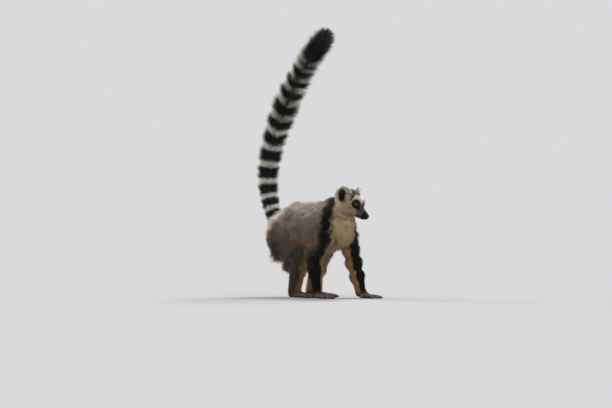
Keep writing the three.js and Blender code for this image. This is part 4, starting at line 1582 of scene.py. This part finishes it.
@dataclass(frozen=True)
class SkinFinish:
    """The hide: short underfur where it is covered, and dark pebbled leather where it is naked.

    Covered skin is matt with a fine hairy bump. The nose, lips and pads have cells about a millimetre
    across and a low gloss.
    """

    name: str = "lemur_hide"
    hair_mm: float = 1.3
    cell_mm: float = 1.1

    def make(self) -> bpy.types.Material:
        """Builds the material.

        Returns:
            The material.
        """
        n = Nodes(self.name)
        marks = n.add("Attribute", {"attribute_name": MARKS})
        bare = n.add("Attribute", {"attribute_name": BARE})
        here = n.add("TexCoord").outputs["Object"]
        hair = n.add("TexNoise", links={"Vector": here}, Scale=1 / (self.hair_mm * MM), Detail=4.0,
                     Roughness=0.7)
        cells = n.add("TexVoronoi", {"feature": "F1"}, {"Vector": here}, Scale=1 / (self.cell_mm * MM))
        relief = n.add("Mix", {"data_type": "FLOAT"}, {0: bare.outputs["Fac"]})
        n.tree.links.new(hair.outputs["Fac"], relief.inputs[2])
        n.tree.links.new(cells.outputs["Distance"], relief.inputs[3])
        bump = n.add("Bump", links={"Height": relief.outputs[0]}, Strength=0.5, Distance=0.0004)
        rough = n.add("MapRange", links={"Value": bare.outputs["Fac"]}, To_Min=0.85, To_Max=0.7)
        links = {"Base Color": marks.outputs["Color"], "Normal": bump.outputs["Normal"],
                 "Roughness": rough.outputs["Result"]}
        shader = n.add("BsdfPrincipled", links=links, IOR=1.45, Specular_IOR_Level=0.25, Sheen_Weight=0.1,
                       Sheen_Roughness=0.5)
        return n.finish(shader)


@dataclass(frozen=True)
class EyeFinish:
    """A glass-clear eye: amber iris with fine radial fibres, a round pupil and a dark rim, under a wet
    coat. The map's height is the angle from the pupil, 0 to 1 for a half turn."""

    name: str = "lemur_eye"
    pupil: float = 0.1
    iris: float = 0.27

    def make(self) -> bpy.types.Material:
        """Builds the material.

        Returns:
            The material.
        """
        n = Nodes(self.name)
        place = n.add("UVMap", {"uv_map": "Polar"}).outputs["UV"]
        split = n.add("SeparateXYZ", links={"Vector": place})
        streaks = n.add("Mapping", links={"Vector": place}, Scale=(90.0, 5.0, 1.0))
        fibres = n.add("TexNoise", links={"Vector": streaks.outputs["Vector"]}, Scale=1.0, Detail=3.0)
        height = n.add("MapRange", links={"Value": fibres.outputs["Fac"]}, From_Min=0.2, From_Max=0.8,
                       To_Min=-0.02, To_Max=0.02)
        where = n.add("Math", {"operation": "ADD"}, {0: split.outputs["Y"], 1: height.outputs["Result"]})
        colours = n.add("ValToRGB", links={"Fac": where.outputs[0]})
        pupil, iris = self.pupil, self.iris
        stops = ((0.0, "#020202"), (pupil - 0.008, "#020202"), (pupil + 0.008, "#3d2006"),
                 (pupil + 0.05, "#64340a"), (iris - 0.07, "#4a2507"), (iris, "#2a1206"),
                 (iris + 0.04, "#050303"))
        elements = colours.color_ramp.elements
        for stop, _ in stops[2:]:
            elements.new(stop)
        for element, (stop, colour) in zip(elements, stops):
            element.position, element.color = stop, rgba(colour)
        shader = n.add("BsdfPrincipled", links={"Base Color": colours.outputs["Color"]}, Roughness=0.25,
                       IOR=1.38, Specular_IOR_Level=0.2, Coat_Weight=0.6, Coat_Roughness=0.03, Coat_IOR=1.38)
        return n.finish(shader)


@dataclass(frozen=True)
class HornFinish:
    """Nail horn and whisker shafts: smooth dark keratin with a low gloss and faint length-wise streaks."""

    name: str = "lemur_horn"
    colour: str = "#241d18"
    pale: str = "#4a3d33"

    def make(self) -> bpy.types.Material:
        """Builds the material.

        Returns:
            The material.
        """
        n = Nodes(self.name)
        here = n.add("TexCoord").outputs["Object"]
        streaks = n.add("TexNoise", links={"Vector": here}, Scale=900.0, Detail=2.0)
        tint = n.add("Mix", {"data_type": "RGBA"}, {0: streaks.outputs["Fac"]})
        tint.inputs[6].default_value, tint.inputs[7].default_value = rgba(self.colour), rgba(self.pale)
        shader = n.add("BsdfPrincipled", links={"Base Color": tint.outputs[2]}, Roughness=0.38, IOR=1.55)
        return n.finish(shader)


# ---- The coat ----
@dataclass(frozen=True)
class Growth:
    """How one part's coat grows: how many locks, how far they lift from the skin in degrees, their width,
    the least and greatest length, how much longer than the depth asks, how wavy and clumped it is and how
    wide a clump is, and the share of its colour that a lock has at its root and at its tip."""

    locks: int
    lift: float
    width: float
    shortest: float
    longest: float
    reach: float
    wave: float
    clump: float
    clump_mm: float
    root_shade: float
    tip_light: float


FORELEG = Growth(17000, 31, 0.95, 1.6, 24, 1.0, 0.1, 0.2, 5, 0.6, 1.12)
HINDLEG = Growth(20000, 31, 1.05, 1.6, 28, 1.0, 0.12, 0.25, 6, 0.55, 1.12)


class CoatPiece(Enum):
    """The pieces that the coat is made in: their part, growth and slot."""

    coat_head = (Part.HEAD, Growth(32500, 34, 0.72, 1.8, 12, 1.0, 0.10, 0.15, 4, 0.78, 1.1), "coat_pale")
    coat_ears = (Part.EARS, Growth(12000, 26, 0.62, 2.0, 11, 1.0, 0.14, 0.15, 3, 0.85, 1.05), "coat_pale")
    coat_neck = (Part.NECK, Growth(21000, 28, 0.97, 8, 26, 1.0, 0.22, 0.3, 6, 0.75, 1.1), "coat_grey")
    coat_back = (Part.TRUNK, Growth(32500, 31, 1.2, 10, 32, 1.0, 0.3, 0.45, 8, 0.5, 1.25), "coat_grey")
    coat_underside = (Part.TRUNK, Growth(29000, 29, 1.2, 9, 32, 1.0, 0.3, 0.4, 8, 0.6, 1.15), "coat_grey")
    coat_foreleg_right = (Part.FORE_RIGHT, FORELEG, "coat_grey")
    coat_foreleg_left = (Part.FORE_LEFT, FORELEG, "coat_grey")
    coat_hindleg_right = (Part.HIND_RIGHT, HINDLEG, "coat_grey")
    coat_hindleg_left = (Part.HIND_LEFT, HINDLEG, "coat_grey")
    coat_tail_base = (Part.TAIL, Growth(12000, 56, 1.25, 8, 48, 1.15, 0.12, 0.2, 6, 0.9, 1.1), "coat_banded")
    coat_tail_end = (Part.TAIL, Growth(12000, 60, 1.25, 8, 50, 1.22, 0.14, 0.2, 6, 0.85, 1.15), "coat_banded")


class Coat:
    """Grows locks from the skin.

    A lock is a thin closed spindle: a root point, one three-cornered ring, or two on the tail, and a tip.
    Its middle line leaves the skin steeply and then lies down, wanders with a smooth ripple, and leans to
    the middle of its clump.
    """

    PATCH = 0.003  # size of one lock's patch on the map
    TAIL_HALF = 300.0  # where along the tail its two pieces meet
    RINGS = ((0.46, 1.0),)  # how far along a lock its ring lies, and the share of its width there
    TAIL_RINGS = ((0.34, 1.0), (0.7, 0.72))
    # A lock laid flat on the map, in halves of its patch: root, rings and tip.
    FLAT = ((0, -1), (-1, -0.4), (0, -0.2), (1, -0.4), (-0.7, 0.4), (0, 0.6), (0.7, 0.4), (0, 1))
    SUNK = 0.6  # how deep a lock is rooted
    PAW_LONGEST = 4.5  # of the locks on hands and feet
    RIM_LONGEST = 7.5  # of the locks round the ears' edges

    def __init__(self, build: Build, skin: Skin, markings: Markings) -> None:
        """Keeps what puts pieces into the scene, the finished skin and the pattern."""
        self.build, self.skin, self.markings = build, skin, markings

    def chosen(self, which: CoatPiece) -> Array:
        """The skin's triangles that a piece of the coat grows from.

        Args:
            which: the piece.

        Returns:
            Triangle numbers.
        """
        faces, points = self.skin.faces, self.skin.points
        chosen = self.skin.part[faces[:, 0]] == which.value[0]
        middle = points[faces].mean(1)
        if which in (CoatPiece.coat_back, CoatPiece.coat_underside):
            chosen &= (middle[:, 2] > TRUNK.middle) == (which is CoatPiece.coat_back)
        if which in (CoatPiece.coat_tail_base, CoatPiece.coat_tail_end):
            s, _, _ = TAIL.place(middle)
            chosen &= (s > self.TAIL_HALF) == (which is CoatPiece.coat_tail_end)
        return np.nonzero(chosen)[0]

    def density(self, middle: Array, normals: Array) -> Array:
        """How thickly hair grows: none on lids, nose, lips and soles, thick on the face.

        Args:
            middle: the middles of the triangles.
            normals: the skin's normals there.

        Returns:
            Locks for each unit of area, as a share.
        """
        bare = self.markings.bare(middle, normals)
        q = HEAD.inside(middle)
        face = ramp(-10, 20, q[:, 0]) * (np.linalg.norm(q, axis=1) < 70)
        return np.where(bare > 0.45, 0.0, 1.0) * (1 + 0.9 * face)

    def flow(self, p: Array, part: Array) -> Array:
        """The lie of the coat: which way it runs at each root, before it is laid on the skin.

        Args:
            p: roots.
            part: the number of the Part at each.

        Returns:
            Unit vectors.
        """
        x, y, z = p.T
        rear, front = ramp(-85, -150, x), ramp(70, 100, x) * ramp(250, 215, z)
        down = 0.28 + 0.5 * ramp(40, -40, z - TRUNK.middle)
        way = np.stack([-1.0 + 0.7 * rear + 0.75 * front, 0.12 * np.sign(y) * (1 - front),
                        -down - 0.9 * rear - 0.8 * front], 1)
        neck = part == Part.NECK
        throat = ramp(230, 200, z[neck])[:, None]
        way[neck] = np.array([-0.72, 0.0, -0.62]) + np.array([0.35, 0.0, -0.35]) * throat
        for number, limb in enumerate(LIMBS.values(), Part.FORE_RIGHT):
            here = part == number
            fraction, run, _ = limb.way_down(p[here])
            _, ahead, _ = limb.axes()
            low = ramp(26, 12, z[here])[:, None]
            high = ramp(0.5, 0.1, fraction)[:, None]
            down_leg = run + np.array([-0.45, 0.0, -0.1]) * high + np.array([-0.2, 0, 0])
            way[here] = unit(down_leg) * (1 - low) + ahead * low
        head = part == Part.HEAD
        q = HEAD.inside(p[head])
        below = ramp(-10, -26, q[:, 2])[:, None]
        from_nose = unit(q - np.array([50.0, 0.0, -8.0])) - np.array([0, 0, 0.7]) * below
        way[head] = from_nose @ HEAD.axes().T
        ears = part == Part.EARS
        q = HEAD.inside(p[ears])
        base = np.broadcast_to([-14.0, 20.0, -2.0], q.shape).copy()
        base[:, 1] *= np.sign(q[:, 1])
        way[ears] = unit(q - base) @ HEAD.axes().T
        tail = part == Part.TAIL
        if tail.any():
            way[tail] = TAIL.place(p[tail])[1]
        return unit(way)

    def chart(self, p: Array, part: Array) -> Array:
        """Each root's place on an unwrap of the skin: round and along the trunk, limbs and tail, round the
        head like a globe, and each ear's leaf laid flat.

        Args:
            p: roots.
            part: the number of the Part at each.

        Returns:
            Places from 0.02 to 0.98 each way.
        """
        place = np.stack([(p[:, 0] + 170) / 320, round_share(p[:, 1], p[:, 2] - TRUNK.middle)], 1)
        for number, limb in enumerate(LIMBS.values(), Part.FORE_RIGHT):
            here = part == number
            fraction, _, off = limb.way_down(p[here])
            low = p[here][:, 2] < 22
            at, ahead, inward = limb.axes()
            own = p[here] - at
            paw = np.stack([0.70 + (own @ ahead + 30) / 450, 0.5 + own @ inward / 120], 1)
            leg = np.stack([fraction * 0.62, round_share(off[:, 1], off[:, 0])], 1)
            place[here] = np.where(low[:, None], paw, leg)
        head = part == Part.HEAD
        q = HEAD.inside(p[head]) + np.array([6.0, 0.0, 0.0])
        place[head] = np.stack([round_share(q[:, 1], q[:, 0]), np.arcsin(unit(q)[:, 2]) / math.pi + 0.5], 1)
        ears = part == Part.EARS
        q = HEAD.inside(p[ears])
        share, x, y, d = HEAD.ear.leaf(folded(q), Level.SKIN)
        front = HEAD.ear.in_front(share, d)
        place[ears] = np.stack([0.25 + 0.5 * (q[:, 1] > 0) + x / 110, 0.25 + 0.5 * front + y / 130], 1)
        tail = part == Part.TAIL
        if tail.any():
            s, _, off = TAIL.place(p[tail])
            place[tail] = np.stack([s % self.TAIL_HALF / 320, round_share(off[:, 1], off[:, 0])], 1)
        return 0.02 + 0.96 * np.clip(place, 0, 1)

    def roots(self, which: CoatPiece, rng: np.random.Generator) -> dict[str, Array]:
        """Scatters the roots of one piece evenly over its triangles.

        Args:
            which: the piece.
            rng: the source of chance.

        Returns:
            For each root its place, normal, part and coat depth.
        """
        skin, (_, growth, _) = self.skin, which.value
        faces = skin.faces[self.chosen(which)]
        a, b, c = (skin.points[faces[:, k]] for k in range(3))
        area = np.linalg.norm(np.cross(b - a, c - a), axis=1) / 2
        area = area * self.density((a + b + c) / 3, unit(skin.normals[faces].sum(1)))
        total = np.cumsum(area)
        at = (np.arange(growth.locks) + rng.uniform(size=growth.locks)) / growth.locks * total[-1]
        pick = np.minimum(np.searchsorted(total, at), len(total) - 1)
        u, v = rng.uniform(size=(2, growth.locks))
        flip = u + v > 1
        u, v = np.where(flip, 1 - u, u), np.where(flip, 1 - v, v)
        shares = np.stack([1 - u - v, u, v], 1)
        corners = faces[pick]
        return {
            "at": np.einsum("nk,nkd->nd", shares, skin.points[corners]),
            "normal": unit(np.einsum("nk,nkd->nd", shares, skin.normals[corners])),
            "depth": np.einsum("nk,nk->n", shares, skin.depth[corners]),
            "part": skin.part[corners[:, 0]],
        }

    def grow(self, which: CoatPiece, finish: bpy.types.Material, seed: int) -> bpy.types.Object:
        """Grows one piece of the coat.

        The middle line is the root plus length times (t cos lift, along the lie; t (1.35 - 0.35 t) sin lift,
        along the normal). A ring has two side corners half a width out and its ridge a third of a width up.

        Args:
            which: the piece.
            finish: its material.
            seed: for its scatter.

        Returns:
            The piece.
        """
        _, growth, slot = which.value
        rng = np.random.default_rng(seed)
        root = self.roots(which, rng)
        at, normal, part = root["at"], root["normal"], root["part"]
        count = len(at)
        way = self.flow(at, part) + growth.wave * ripple(at, 16.0, seed) + 0.14 * rng.normal(size=(count, 3))
        way = unit(laid(way, normal))
        lift = np.radians(growth.lift) * rng.uniform(0.72, 1.25, count)
        lift *= 1 + 0.7 * growth.wave * ripple(at, 22.0, seed + 50)[:, 0]
        length, width = self.sizes(root, growth, lift, rng)
        hang = self.hang(at, normal)
        lift, length = lift * (1 + 0.35 * hang), length * (1 + 0.7 * hang)
        if which is CoatPiece.coat_head:
            q = HEAD.inside(at)
            length *= 1 + 1.1 * ramp(-12, -26, q[:, 2]) * ramp(12, -6, q[:, 0])
        cell = growth.clump_mm
        clump = np.floor(at / cell)
        home = laid((clump + 0.5 + 0.3 * ripple(clump * 7.3, 5.0, seed + 9)) * cell - at, normal)
        side = np.cross(way, normal)
        roll = rng.normal(0, 0.45, count)[:, None]
        across = side * np.cos(roll) + normal * np.sin(roll)
        ridge = np.cross(across, way)
        rings = self.TAIL_RINGS if slot == "coat_banded" else self.RINGS
        along, out = (length * np.cos(lift))[:, None] * way, (length * np.sin(lift))[:, None] * normal
        rows = [at - self.SUNK * normal]
        for t, share in rings:
            middle = at + t * along + t * (1.35 - 0.35 * t) * out + growth.clump * t * t * home
            half = (0.5 * share * width)[:, None]
            rows += [middle + half * across, middle + 0.66 * half * ridge, middle - half * across]
        rows.append(at + along + out + growth.clump * home)
        points = np.stack(rows, 1)
        points[..., 2] = np.maximum(points[..., 2], 0.2)
        last = 3 * len(rings) + 1
        shape = [(0, 1, 2), (0, 2, 3), (0, 3, 1), (last - 3, last, last - 2), (last - 2, last, last - 1),
                 (last - 1, last, last - 3)]
        if len(rings) == 2:
            shape += [(1, 4, 5), (1, 5, 2), (2, 5, 6), (2, 6, 3), (3, 6, 4), (3, 4, 1)]
        faces = (np.arange(count)[:, None, None] * (last + 1) + np.array(shape)).reshape(-1, 3)
        base = self.markings.colours(at + 0.55 * along, part)
        shade = np.clip(rng.normal(1.0, 0.10, count), 0.7, 1.35)
        between = [1.0] * 3 + [(1 + growth.tip_light) / 2] * 3
        light = np.array([growth.root_shade] + between[: last - 1] + [growth.tip_light])
        colours = base[:, None, :] * (shade[:, None] * light)[:, :, None]
        made = self.build.piece(which.name, points.reshape(-1, 3), faces, finish, slot)
        self.build.colour_points(made, np.clip(colours, 0, 1).reshape(-1, 3))
        spot = np.array([*self.FLAT[:last], self.FLAT[-1]])
        places = self.chart(at, part)[:, None, :] + spot * self.PATCH / 2
        self.build.map_points(made, "OFBake", places.reshape(-1, 2), faces)
        return made

    @staticmethod
    def hang(p: Array, normal: Array) -> Array:
        """How far roots lie on the thighs' backs, where longer hair hangs.

        Args:
            p: roots.
            normal: the skin's normals there.

        Returns:
            Values from 0 to 1.
        """
        x, _, z = p.T
        there = ramp(-48, -66, x) * ramp(-130, -112, x) * ramp(136, 120, z) * ramp(62, 78, z)
        return there * ramp(0.1, -0.4, normal[:, 2])

    def sizes(self, root: dict[str, Array], growth: Growth, lift: Array,
              rng: np.random.Generator) -> tuple[Array, Array]:
        """Lengths that reach the outline of the coat at this lift, and widths.

        Args:
            root: the roots.
            growth: how this part's coat grows.
            lift: each lock's lift in radians.
            rng: the source of chance.

        Returns:
            Lengths and widths.
        """
        count, lift_mean = len(lift), math.radians(growth.lift)
        length = growth.reach * root["depth"] / math.sin(lift_mean) * rng.uniform(0.72, 1.06, count)
        length = np.clip(length, growth.shortest, growth.longest)
        rim = root["part"] == Part.EARS
        if rim.any():
            share = HEAD.ear.leaf(folded(HEAD.inside(root["at"])), Level.SKIN)[0]
            least = self.RIM_LONGEST * ramp(0.72, 0.95, share) * rng.uniform(0.7, 1.1, count)
            length = np.where(rim, np.maximum(length, least), length)
        low = ramp(26, 10, root["at"][:, 2])
        length = length * (1 - low) + np.minimum(length, self.PAW_LONGEST) * low
        width = growth.width * rng.uniform(0.75, 1.25, count) * np.clip(length / 12, 0.45, 1.0)
        return length, width


# ---- Eyes, nails and whiskers ----
def spun(radius: Array, height: Array, around: int) -> tuple[Array, Array]:
    """A profile spun about Z, closed by a point at each end.

    Args:
        radius: the profile's radius at each row; the first and last are 0.
        height: its height at each row.
        around: sides.

    Returns:
        Points and triangles, turned outwards when the height falls from row to row.
    """
    angle = np.linspace(0, 2 * math.pi, around, endpoint=False)
    rings = np.stack([np.outer(radius[1:-1], np.cos(angle)), np.outer(radius[1:-1], np.sin(angle)),
                      np.repeat(height[1:-1, None], around, 1)], -1).reshape(-1, 3)
    points = np.concatenate([[[0, 0, height[0]]], rings, [[0, 0, height[-1]]]])
    rows = len(radius) - 2
    n = np.arange(around)
    m = (n + 1) % around
    top = np.stack([np.zeros_like(n), 1 + n, 1 + m], 1)
    last = 1 + (rows - 1) * around
    bottom = np.stack([np.full_like(n, len(points) - 1), last + m, last + n], 1)
    faces = [top]
    for row in range(rows - 1):
        a, b = 1 + row * around, 1 + (row + 1) * around
        faces += [np.stack([a + n, b + n, b + m], 1), np.stack([a + n, b + m, a + m], 1)]
    return points, np.concatenate([*faces, bottom])


@dataclass
class Eyes:
    """Two eyeballs with a bulging cornea, each turned along its gaze."""

    build: Build
    around: int = 64
    rows: int = 49
    bulge: float = 0.55  # how far the cornea stands out
    cornea: float = 34.0  # degrees from the pupil to its edge

    def make(self, finish: bpy.types.Material) -> None:
        """Builds both eyes: a ball whose radius grows by a smooth bump round the pupil.

        Args:
            finish: their material.
        """
        angle = np.linspace(0, math.pi, self.rows)
        share = np.clip(np.degrees(angle) / self.cornea, 0, 1)
        reach = HEAD.eye_radius + self.bulge * (1 - share**2) ** 2
        points, faces = spun(reach * np.sin(angle), reach * np.cos(angle), self.around)
        polar = np.concatenate([[0.0], np.repeat(np.linspace(0, 1, self.rows)[1:-1], self.around), [1.0]])
        turn = np.concatenate([[0.0], np.tile(np.arange(self.around) / self.around, self.rows - 2), [0.0]])
        ahead, level, up = HEAD.gaze_axes()
        for side in Side:
            mirror = np.array([1.0, side, 1.0])
            axes = np.stack([side * level * mirror, up * mirror, ahead * mirror])
            placed = points @ axes + np.asarray(HEAD.eye) * mirror
            name = f"eyeball_{side.name.lower()}"
            made = self.build.piece(name, HEAD.outside(placed), faces, finish, "eye")
            self.build.map_points(made, "Polar", np.stack([turn, polar], 1), faces)
            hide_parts(f"eye_{side.name.lower()}")


@dataclass
class Nails:
    """Flat nails on the tips of the digits, and the grooming claw on each second toe."""

    build: Build
    across: int = 9
    along: int = 9
    claw: tuple = (6.4, 1.7, 1.3, 1.5)  # length, width, thickness and how far the tip drops
    nail: tuple = (4.6, 1.0664, 0.8, 0.5)  # the same, but the width in radii of the digit's tip

    def plate(self, length: float, width: float, thick: float, curve: float) -> tuple[Array, Array]:
        """One nail: an ellipsoid flattened and bent down in a parabola along its length.

        Args:
            length: from root to tip.
            width: across.
            thick: at its middle.
            curve: how far the tip drops.

        Returns:
            Points with X ahead and Z up, and triangles.
        """
        angle = np.linspace(0, math.pi, self.along)
        points, faces = spun(np.sin(angle), np.cos(angle), self.across)
        x, y, z = points[:, 2], points[:, 1], points[:, 0]
        bent = z * thick / 2 - curve * (x + 0.6).clip(0) ** 2 - 0.16 * width * y * y
        made = np.stack([x * length / 2, y * width / 2, bent], 1)
        return made, faces[:, ::-1]

    def make(self, finish: bpy.types.Material) -> None:
        """Builds all the nails as one piece.

        Args:
            finish: their material.
        """
        points, faces, count = [], [], 0
        for limb in LIMBS.values():
            for number, digit in enumerate(limb.paw.digits):
                claw = limb.paw is FOOT and number == 1
                length, width, thick, drop = self.claw if claw else self.nail
                plate, shape = self.plate(length, width if claw else width * digit.tip, thick, drop)
                tip = digit.line(np.array([0.93]))[0]
                turn = math.radians(digit.heading)
                ahead = np.array([math.cos(turn), math.sin(turn)])
                flat = tip[:2] + plate[:, :1] * ahead + plate[:, 1:2] * np.array([-ahead[1], ahead[0]])
                rise = tip[2] + digit.tip * (0.9 if claw else 0.80)
                local = np.concatenate([flat, plate[:, 2:] + rise], 1)
                if limb.side is Side.LEFT:
                    shape = shape[:, ::-1]
                points.append(limb.placed(local))
                faces.append(shape + count)
                count += len(local)
        self.build.piece("nails", np.concatenate(points), np.concatenate(faces), finish, "bare_skin")


@dataclass
class Whiskers:
    """Long stiff hairs on the lips and over the eyes: thin four-sided spikes that bend back."""

    build: Build
    seed: int = 77
    lip: int = 11  # on each side
    brow: int = 4  # over each eye
    rings: tuple = ((0.06, 0.16), (0.5, 0.12))  # share of the length, and radius
    bend: float = 0.35

    def make(self, finish: bpy.types.Material) -> None:
        """Builds the whiskers: root, two squares and a tip along a line that bends like a parabola.

        Args:
            finish: their material.
        """
        rng = np.random.default_rng(self.seed)
        roots, ways, lengths = [], [], []
        for hand in (1, -1):
            for _ in range(self.lip):
                roots.append((33 + 9 * rng.uniform(), hand * (9.0 + rng.uniform(-0.6, 0.6)),
                              -13 - 5 * rng.uniform()))
                ways.append((-0.15 + 0.5 * rng.uniform(), hand * 1.0, -0.35 + 0.5 * rng.uniform()))
                lengths.append(rng.uniform(14, 27))
            for _ in range(self.brow):
                roots.append((16 + 3 * rng.uniform(), hand * rng.uniform(11, 17), 16.5))
                ways.append((0.25, hand * rng.uniform(0.2, 0.8), 1.0))
                lengths.append(rng.uniform(10, 18))
        root, way = np.array(roots), unit(np.array(ways))
        length = np.array(lengths)[:, None]
        back = np.array([-1.0, 0.0, -0.25])
        across = unit(np.cross(way, back))
        over = np.cross(across, way)
        rows = [root]
        for t, radius in self.rings:
            middle = root + way * length * t + back * length * self.bend * t * t
            rows += [middle + radius * (a * across + b * over) for a, b in ((1, 0), (0, 1), (-1, 0), (0, -1))]
        rows.append(root + way * length + back * length * self.bend)
        points = np.stack(rows, 1)
        shape = [(0, 1 + (n + 1) % 4, 1 + n) for n in range(4)]
        shape += [face for n in range(4) for face in ((1 + n, 1 + (n + 1) % 4, 5 + n),
                                                      (1 + (n + 1) % 4, 5 + (n + 1) % 4, 5 + n))]
        shape += [(5 + n, 5 + (n + 1) % 4, 9) for n in range(4)]
        faces = (np.arange(len(root))[:, None, None] * 10 + np.array(shape)[:, ::-1]).reshape(-1, 3)
        self.build.piece("whiskers", HEAD.outside(points.reshape(-1, 3)), faces, finish, "bare_skin")


class Hide:
    """The one skin as a piece: it replaces every node of flesh."""

    UNDERFUR = 0.62  # its colour, as a share of the hair's
    SOLE_TOP = 9.0  # naked skin lower than this is sole

    def __init__(self, build: Build, markings: Markings) -> None:
        """Keeps what the hide is made with."""
        self.build, self.markings = build, markings

    def make(self, skin: Skin, finish: bpy.types.Material, palette: Palette) -> None:
        """Builds the hide with its markings and its naked places.

        Args:
            skin: the worked-out skin.
            finish: its material.
            palette: colours of the naked skin.
        """
        made = self.build.piece("skin", skin.points, skin.faces, finish, "bare_skin")
        colours = self.markings.colours(skin.points, skin.part) * self.UNDERFUR
        bare = self.markings.bare(skin.points, skin.normals)[:, None]
        sole = (skin.points[:, 2:] < self.SOLE_TOP) * bare
        naked = linear(palette.leather) * (1 - sole) + linear(palette.underside) * sole
        self.build.colour_points(made, colours * (1 - bare) + naked * bare)
        layer = made.data.attributes.new(BARE, "FLOAT", "POINT")
        layer.data.foreach_set("value", bare[:, 0].astype(np.float32))
        flesh = sorted(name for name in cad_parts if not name.startswith("eye_"))
        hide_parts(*flesh)


# ---- The studio ----
@dataclass(frozen=True)
class Studio:
    """A wide flat floor, a pale sky, soft lights far away, and the camera."""

    azimuth: float = 50.0  # degrees; 0 looks along +Y
    distance: float = 8.0
    wide_mm: float = 1621.8  # what the frame's width takes in at the animal
    aim: tuple[float, float] = (-23.9, 247.8)  # to the right and up, in the animal's frame
    sensor: float = 36.0
    see: float = 200.0  # how far the camera sees
    floor: str = "#aaaaac"
    floor_radius: float = 60.0
    floor_sides: int = 96
    lamps: float = 3.0  # how far off the lights' markers stand
    sky: tuple[float, float, float, float] = (0.88, 0.885, 0.9, 1.0)
    sky_strength: float = 0.8

    def view(self) -> tuple[Array, Array]:
        """The camera's right and backward directions."""
        a = math.radians(self.azimuth)
        return np.array([math.cos(a), math.sin(a), 0.0]), np.array([math.sin(a), -math.cos(a), 0.0])

    def camera(self, placing: Placing) -> None:
        """Sets up the camera, level, aimed where the animal stands in its frame.

        Args:
            placing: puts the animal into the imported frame.
        """
        right, back = self.view()
        aim = placing.metres(right * self.aim[0] + np.array([0, 0, self.aim[1]]))
        data = bpy.data.cameras.new("camera")
        data.sensor_width = self.sensor
        data.lens = self.sensor * self.distance / (self.wide_mm * MM)
        data.clip_end = self.see
        made = bpy.data.objects.new("camera", data)
        made.location = aim + back * self.distance
        made.rotation_euler = (math.pi / 2, 0.0, math.radians(self.azimuth))
        bpy.context.scene.collection.objects.link(made)
        bpy.context.scene.camera = made

    def ground(self) -> None:
        """Makes the floor: a disc so wide that its edge meets the pale sky at the horizon."""
        angle = np.linspace(0, 2 * math.pi, self.floor_sides, endpoint=False)
        points = self.floor_radius * np.stack([np.cos(angle), np.sin(angle), 0 * angle], 1)
        mesh = bpy.data.meshes.new("floor")
        mesh.from_pydata(points.tolist(), [], [tuple(range(self.floor_sides))])
        nodes = Nodes("painted_floor")
        shader = nodes.add("BsdfPrincipled", Base_Color=rgba(self.floor), Roughness=1.0,
                           Specular_IOR_Level=0.0)
        mesh.materials.append(nodes.finish(shader))
        made = bpy.data.objects.new("floor", mesh)
        bpy.context.scene.collection.objects.link(made)

    def light(self, name: str, turn: float, rise: float, soft: float, strength: float, tint: Triple,
              glossy: bool = True) -> None:
        """Hangs one far, wide, soft light, so that the floor is lit evenly.

        Args:
            name: the light's name.
            turn: degrees to the right of the camera, about the animal.
            rise: degrees above the horizon.
            soft: degrees that it spans in the sky.
            strength: its power on a square metre.
            tint: its colour.
            glossy: whether it shows in shiny places.
        """
        a, b = math.radians(self.azimuth + turn), math.radians(rise)
        data = bpy.data.lights.new(name, "SUN")
        data.angle, data.energy, data.color = math.radians(soft), strength, tint
        made = bpy.data.objects.new(name, data)
        way = np.array([math.sin(a) * math.cos(b), -math.cos(a) * math.cos(b), math.sin(b)])
        made.location = self.lamps * way
        made.rotation_euler = (math.pi / 2 - b, 0.0, a)
        made.visible_glossy = glossy
        bpy.context.scene.collection.objects.link(made)

    def lights(self) -> None:
        """A strong light high behind, a second behind to the left, a weak one in front, and the sky."""
        self.light("key_light", 155, 52, 22, 3.0, (1.0, 0.97, 0.92))
        self.light("rim_light", -130, 35, 25, 1.3, (1.0, 0.98, 0.95))
        self.light("fill_light", 20, 28, 50, 0.5, (0.97, 0.98, 1.0), glossy=False)
        world = bpy.data.worlds.new("studio")
        world.use_nodes = True
        back = world.node_tree.nodes["Background"]
        back.inputs["Color"].default_value = self.sky
        back.inputs["Strength"].default_value = self.sky_strength
        bpy.context.scene.world = world
        bpy.context.scene.view_settings.view_transform = "Standard"


def main() -> None:
    """Builds the studio, the skin, the coat and the small parts, in order."""
    logging.basicConfig(level=logging.INFO, format="%(message)s")
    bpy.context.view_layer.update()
    placing = Placing()
    LOG.info("frame shift: %s", placing.shift)
    build = Build(placing)
    studio = Studio()
    studio.camera(placing)
    studio.ground()
    studio.lights()
    palette = Palette()
    markings = Markings(palette)
    skin = Skin()
    skin.work_out()
    Hide(build, markings).make(skin, SkinFinish().make(), palette)
    coat = Coat(build, skin, markings)
    finishes = {
        "coat_grey": CoatFinish("lemur_wool").make(),
        "coat_pale": CoatFinish("lemur_face_hair", roughness=0.6, sheen=0.1, grain_mm=3.0,
                                spread=0.14).make(),
        "coat_banded": CoatFinish("lemur_tail_hair", roughness=0.58, sheen=0.15, spread=0.12).make(),
    }
    for seed, which in enumerate(CoatPiece, 100):
        coat.grow(which, finishes[which.value[2]], seed)
    Eyes(build).make(EyeFinish().make())
    horn = HornFinish().make()
    Nails(build).make(horn)
    Whiskers(build).make(horn)


if __name__ == "__main__":
    main()
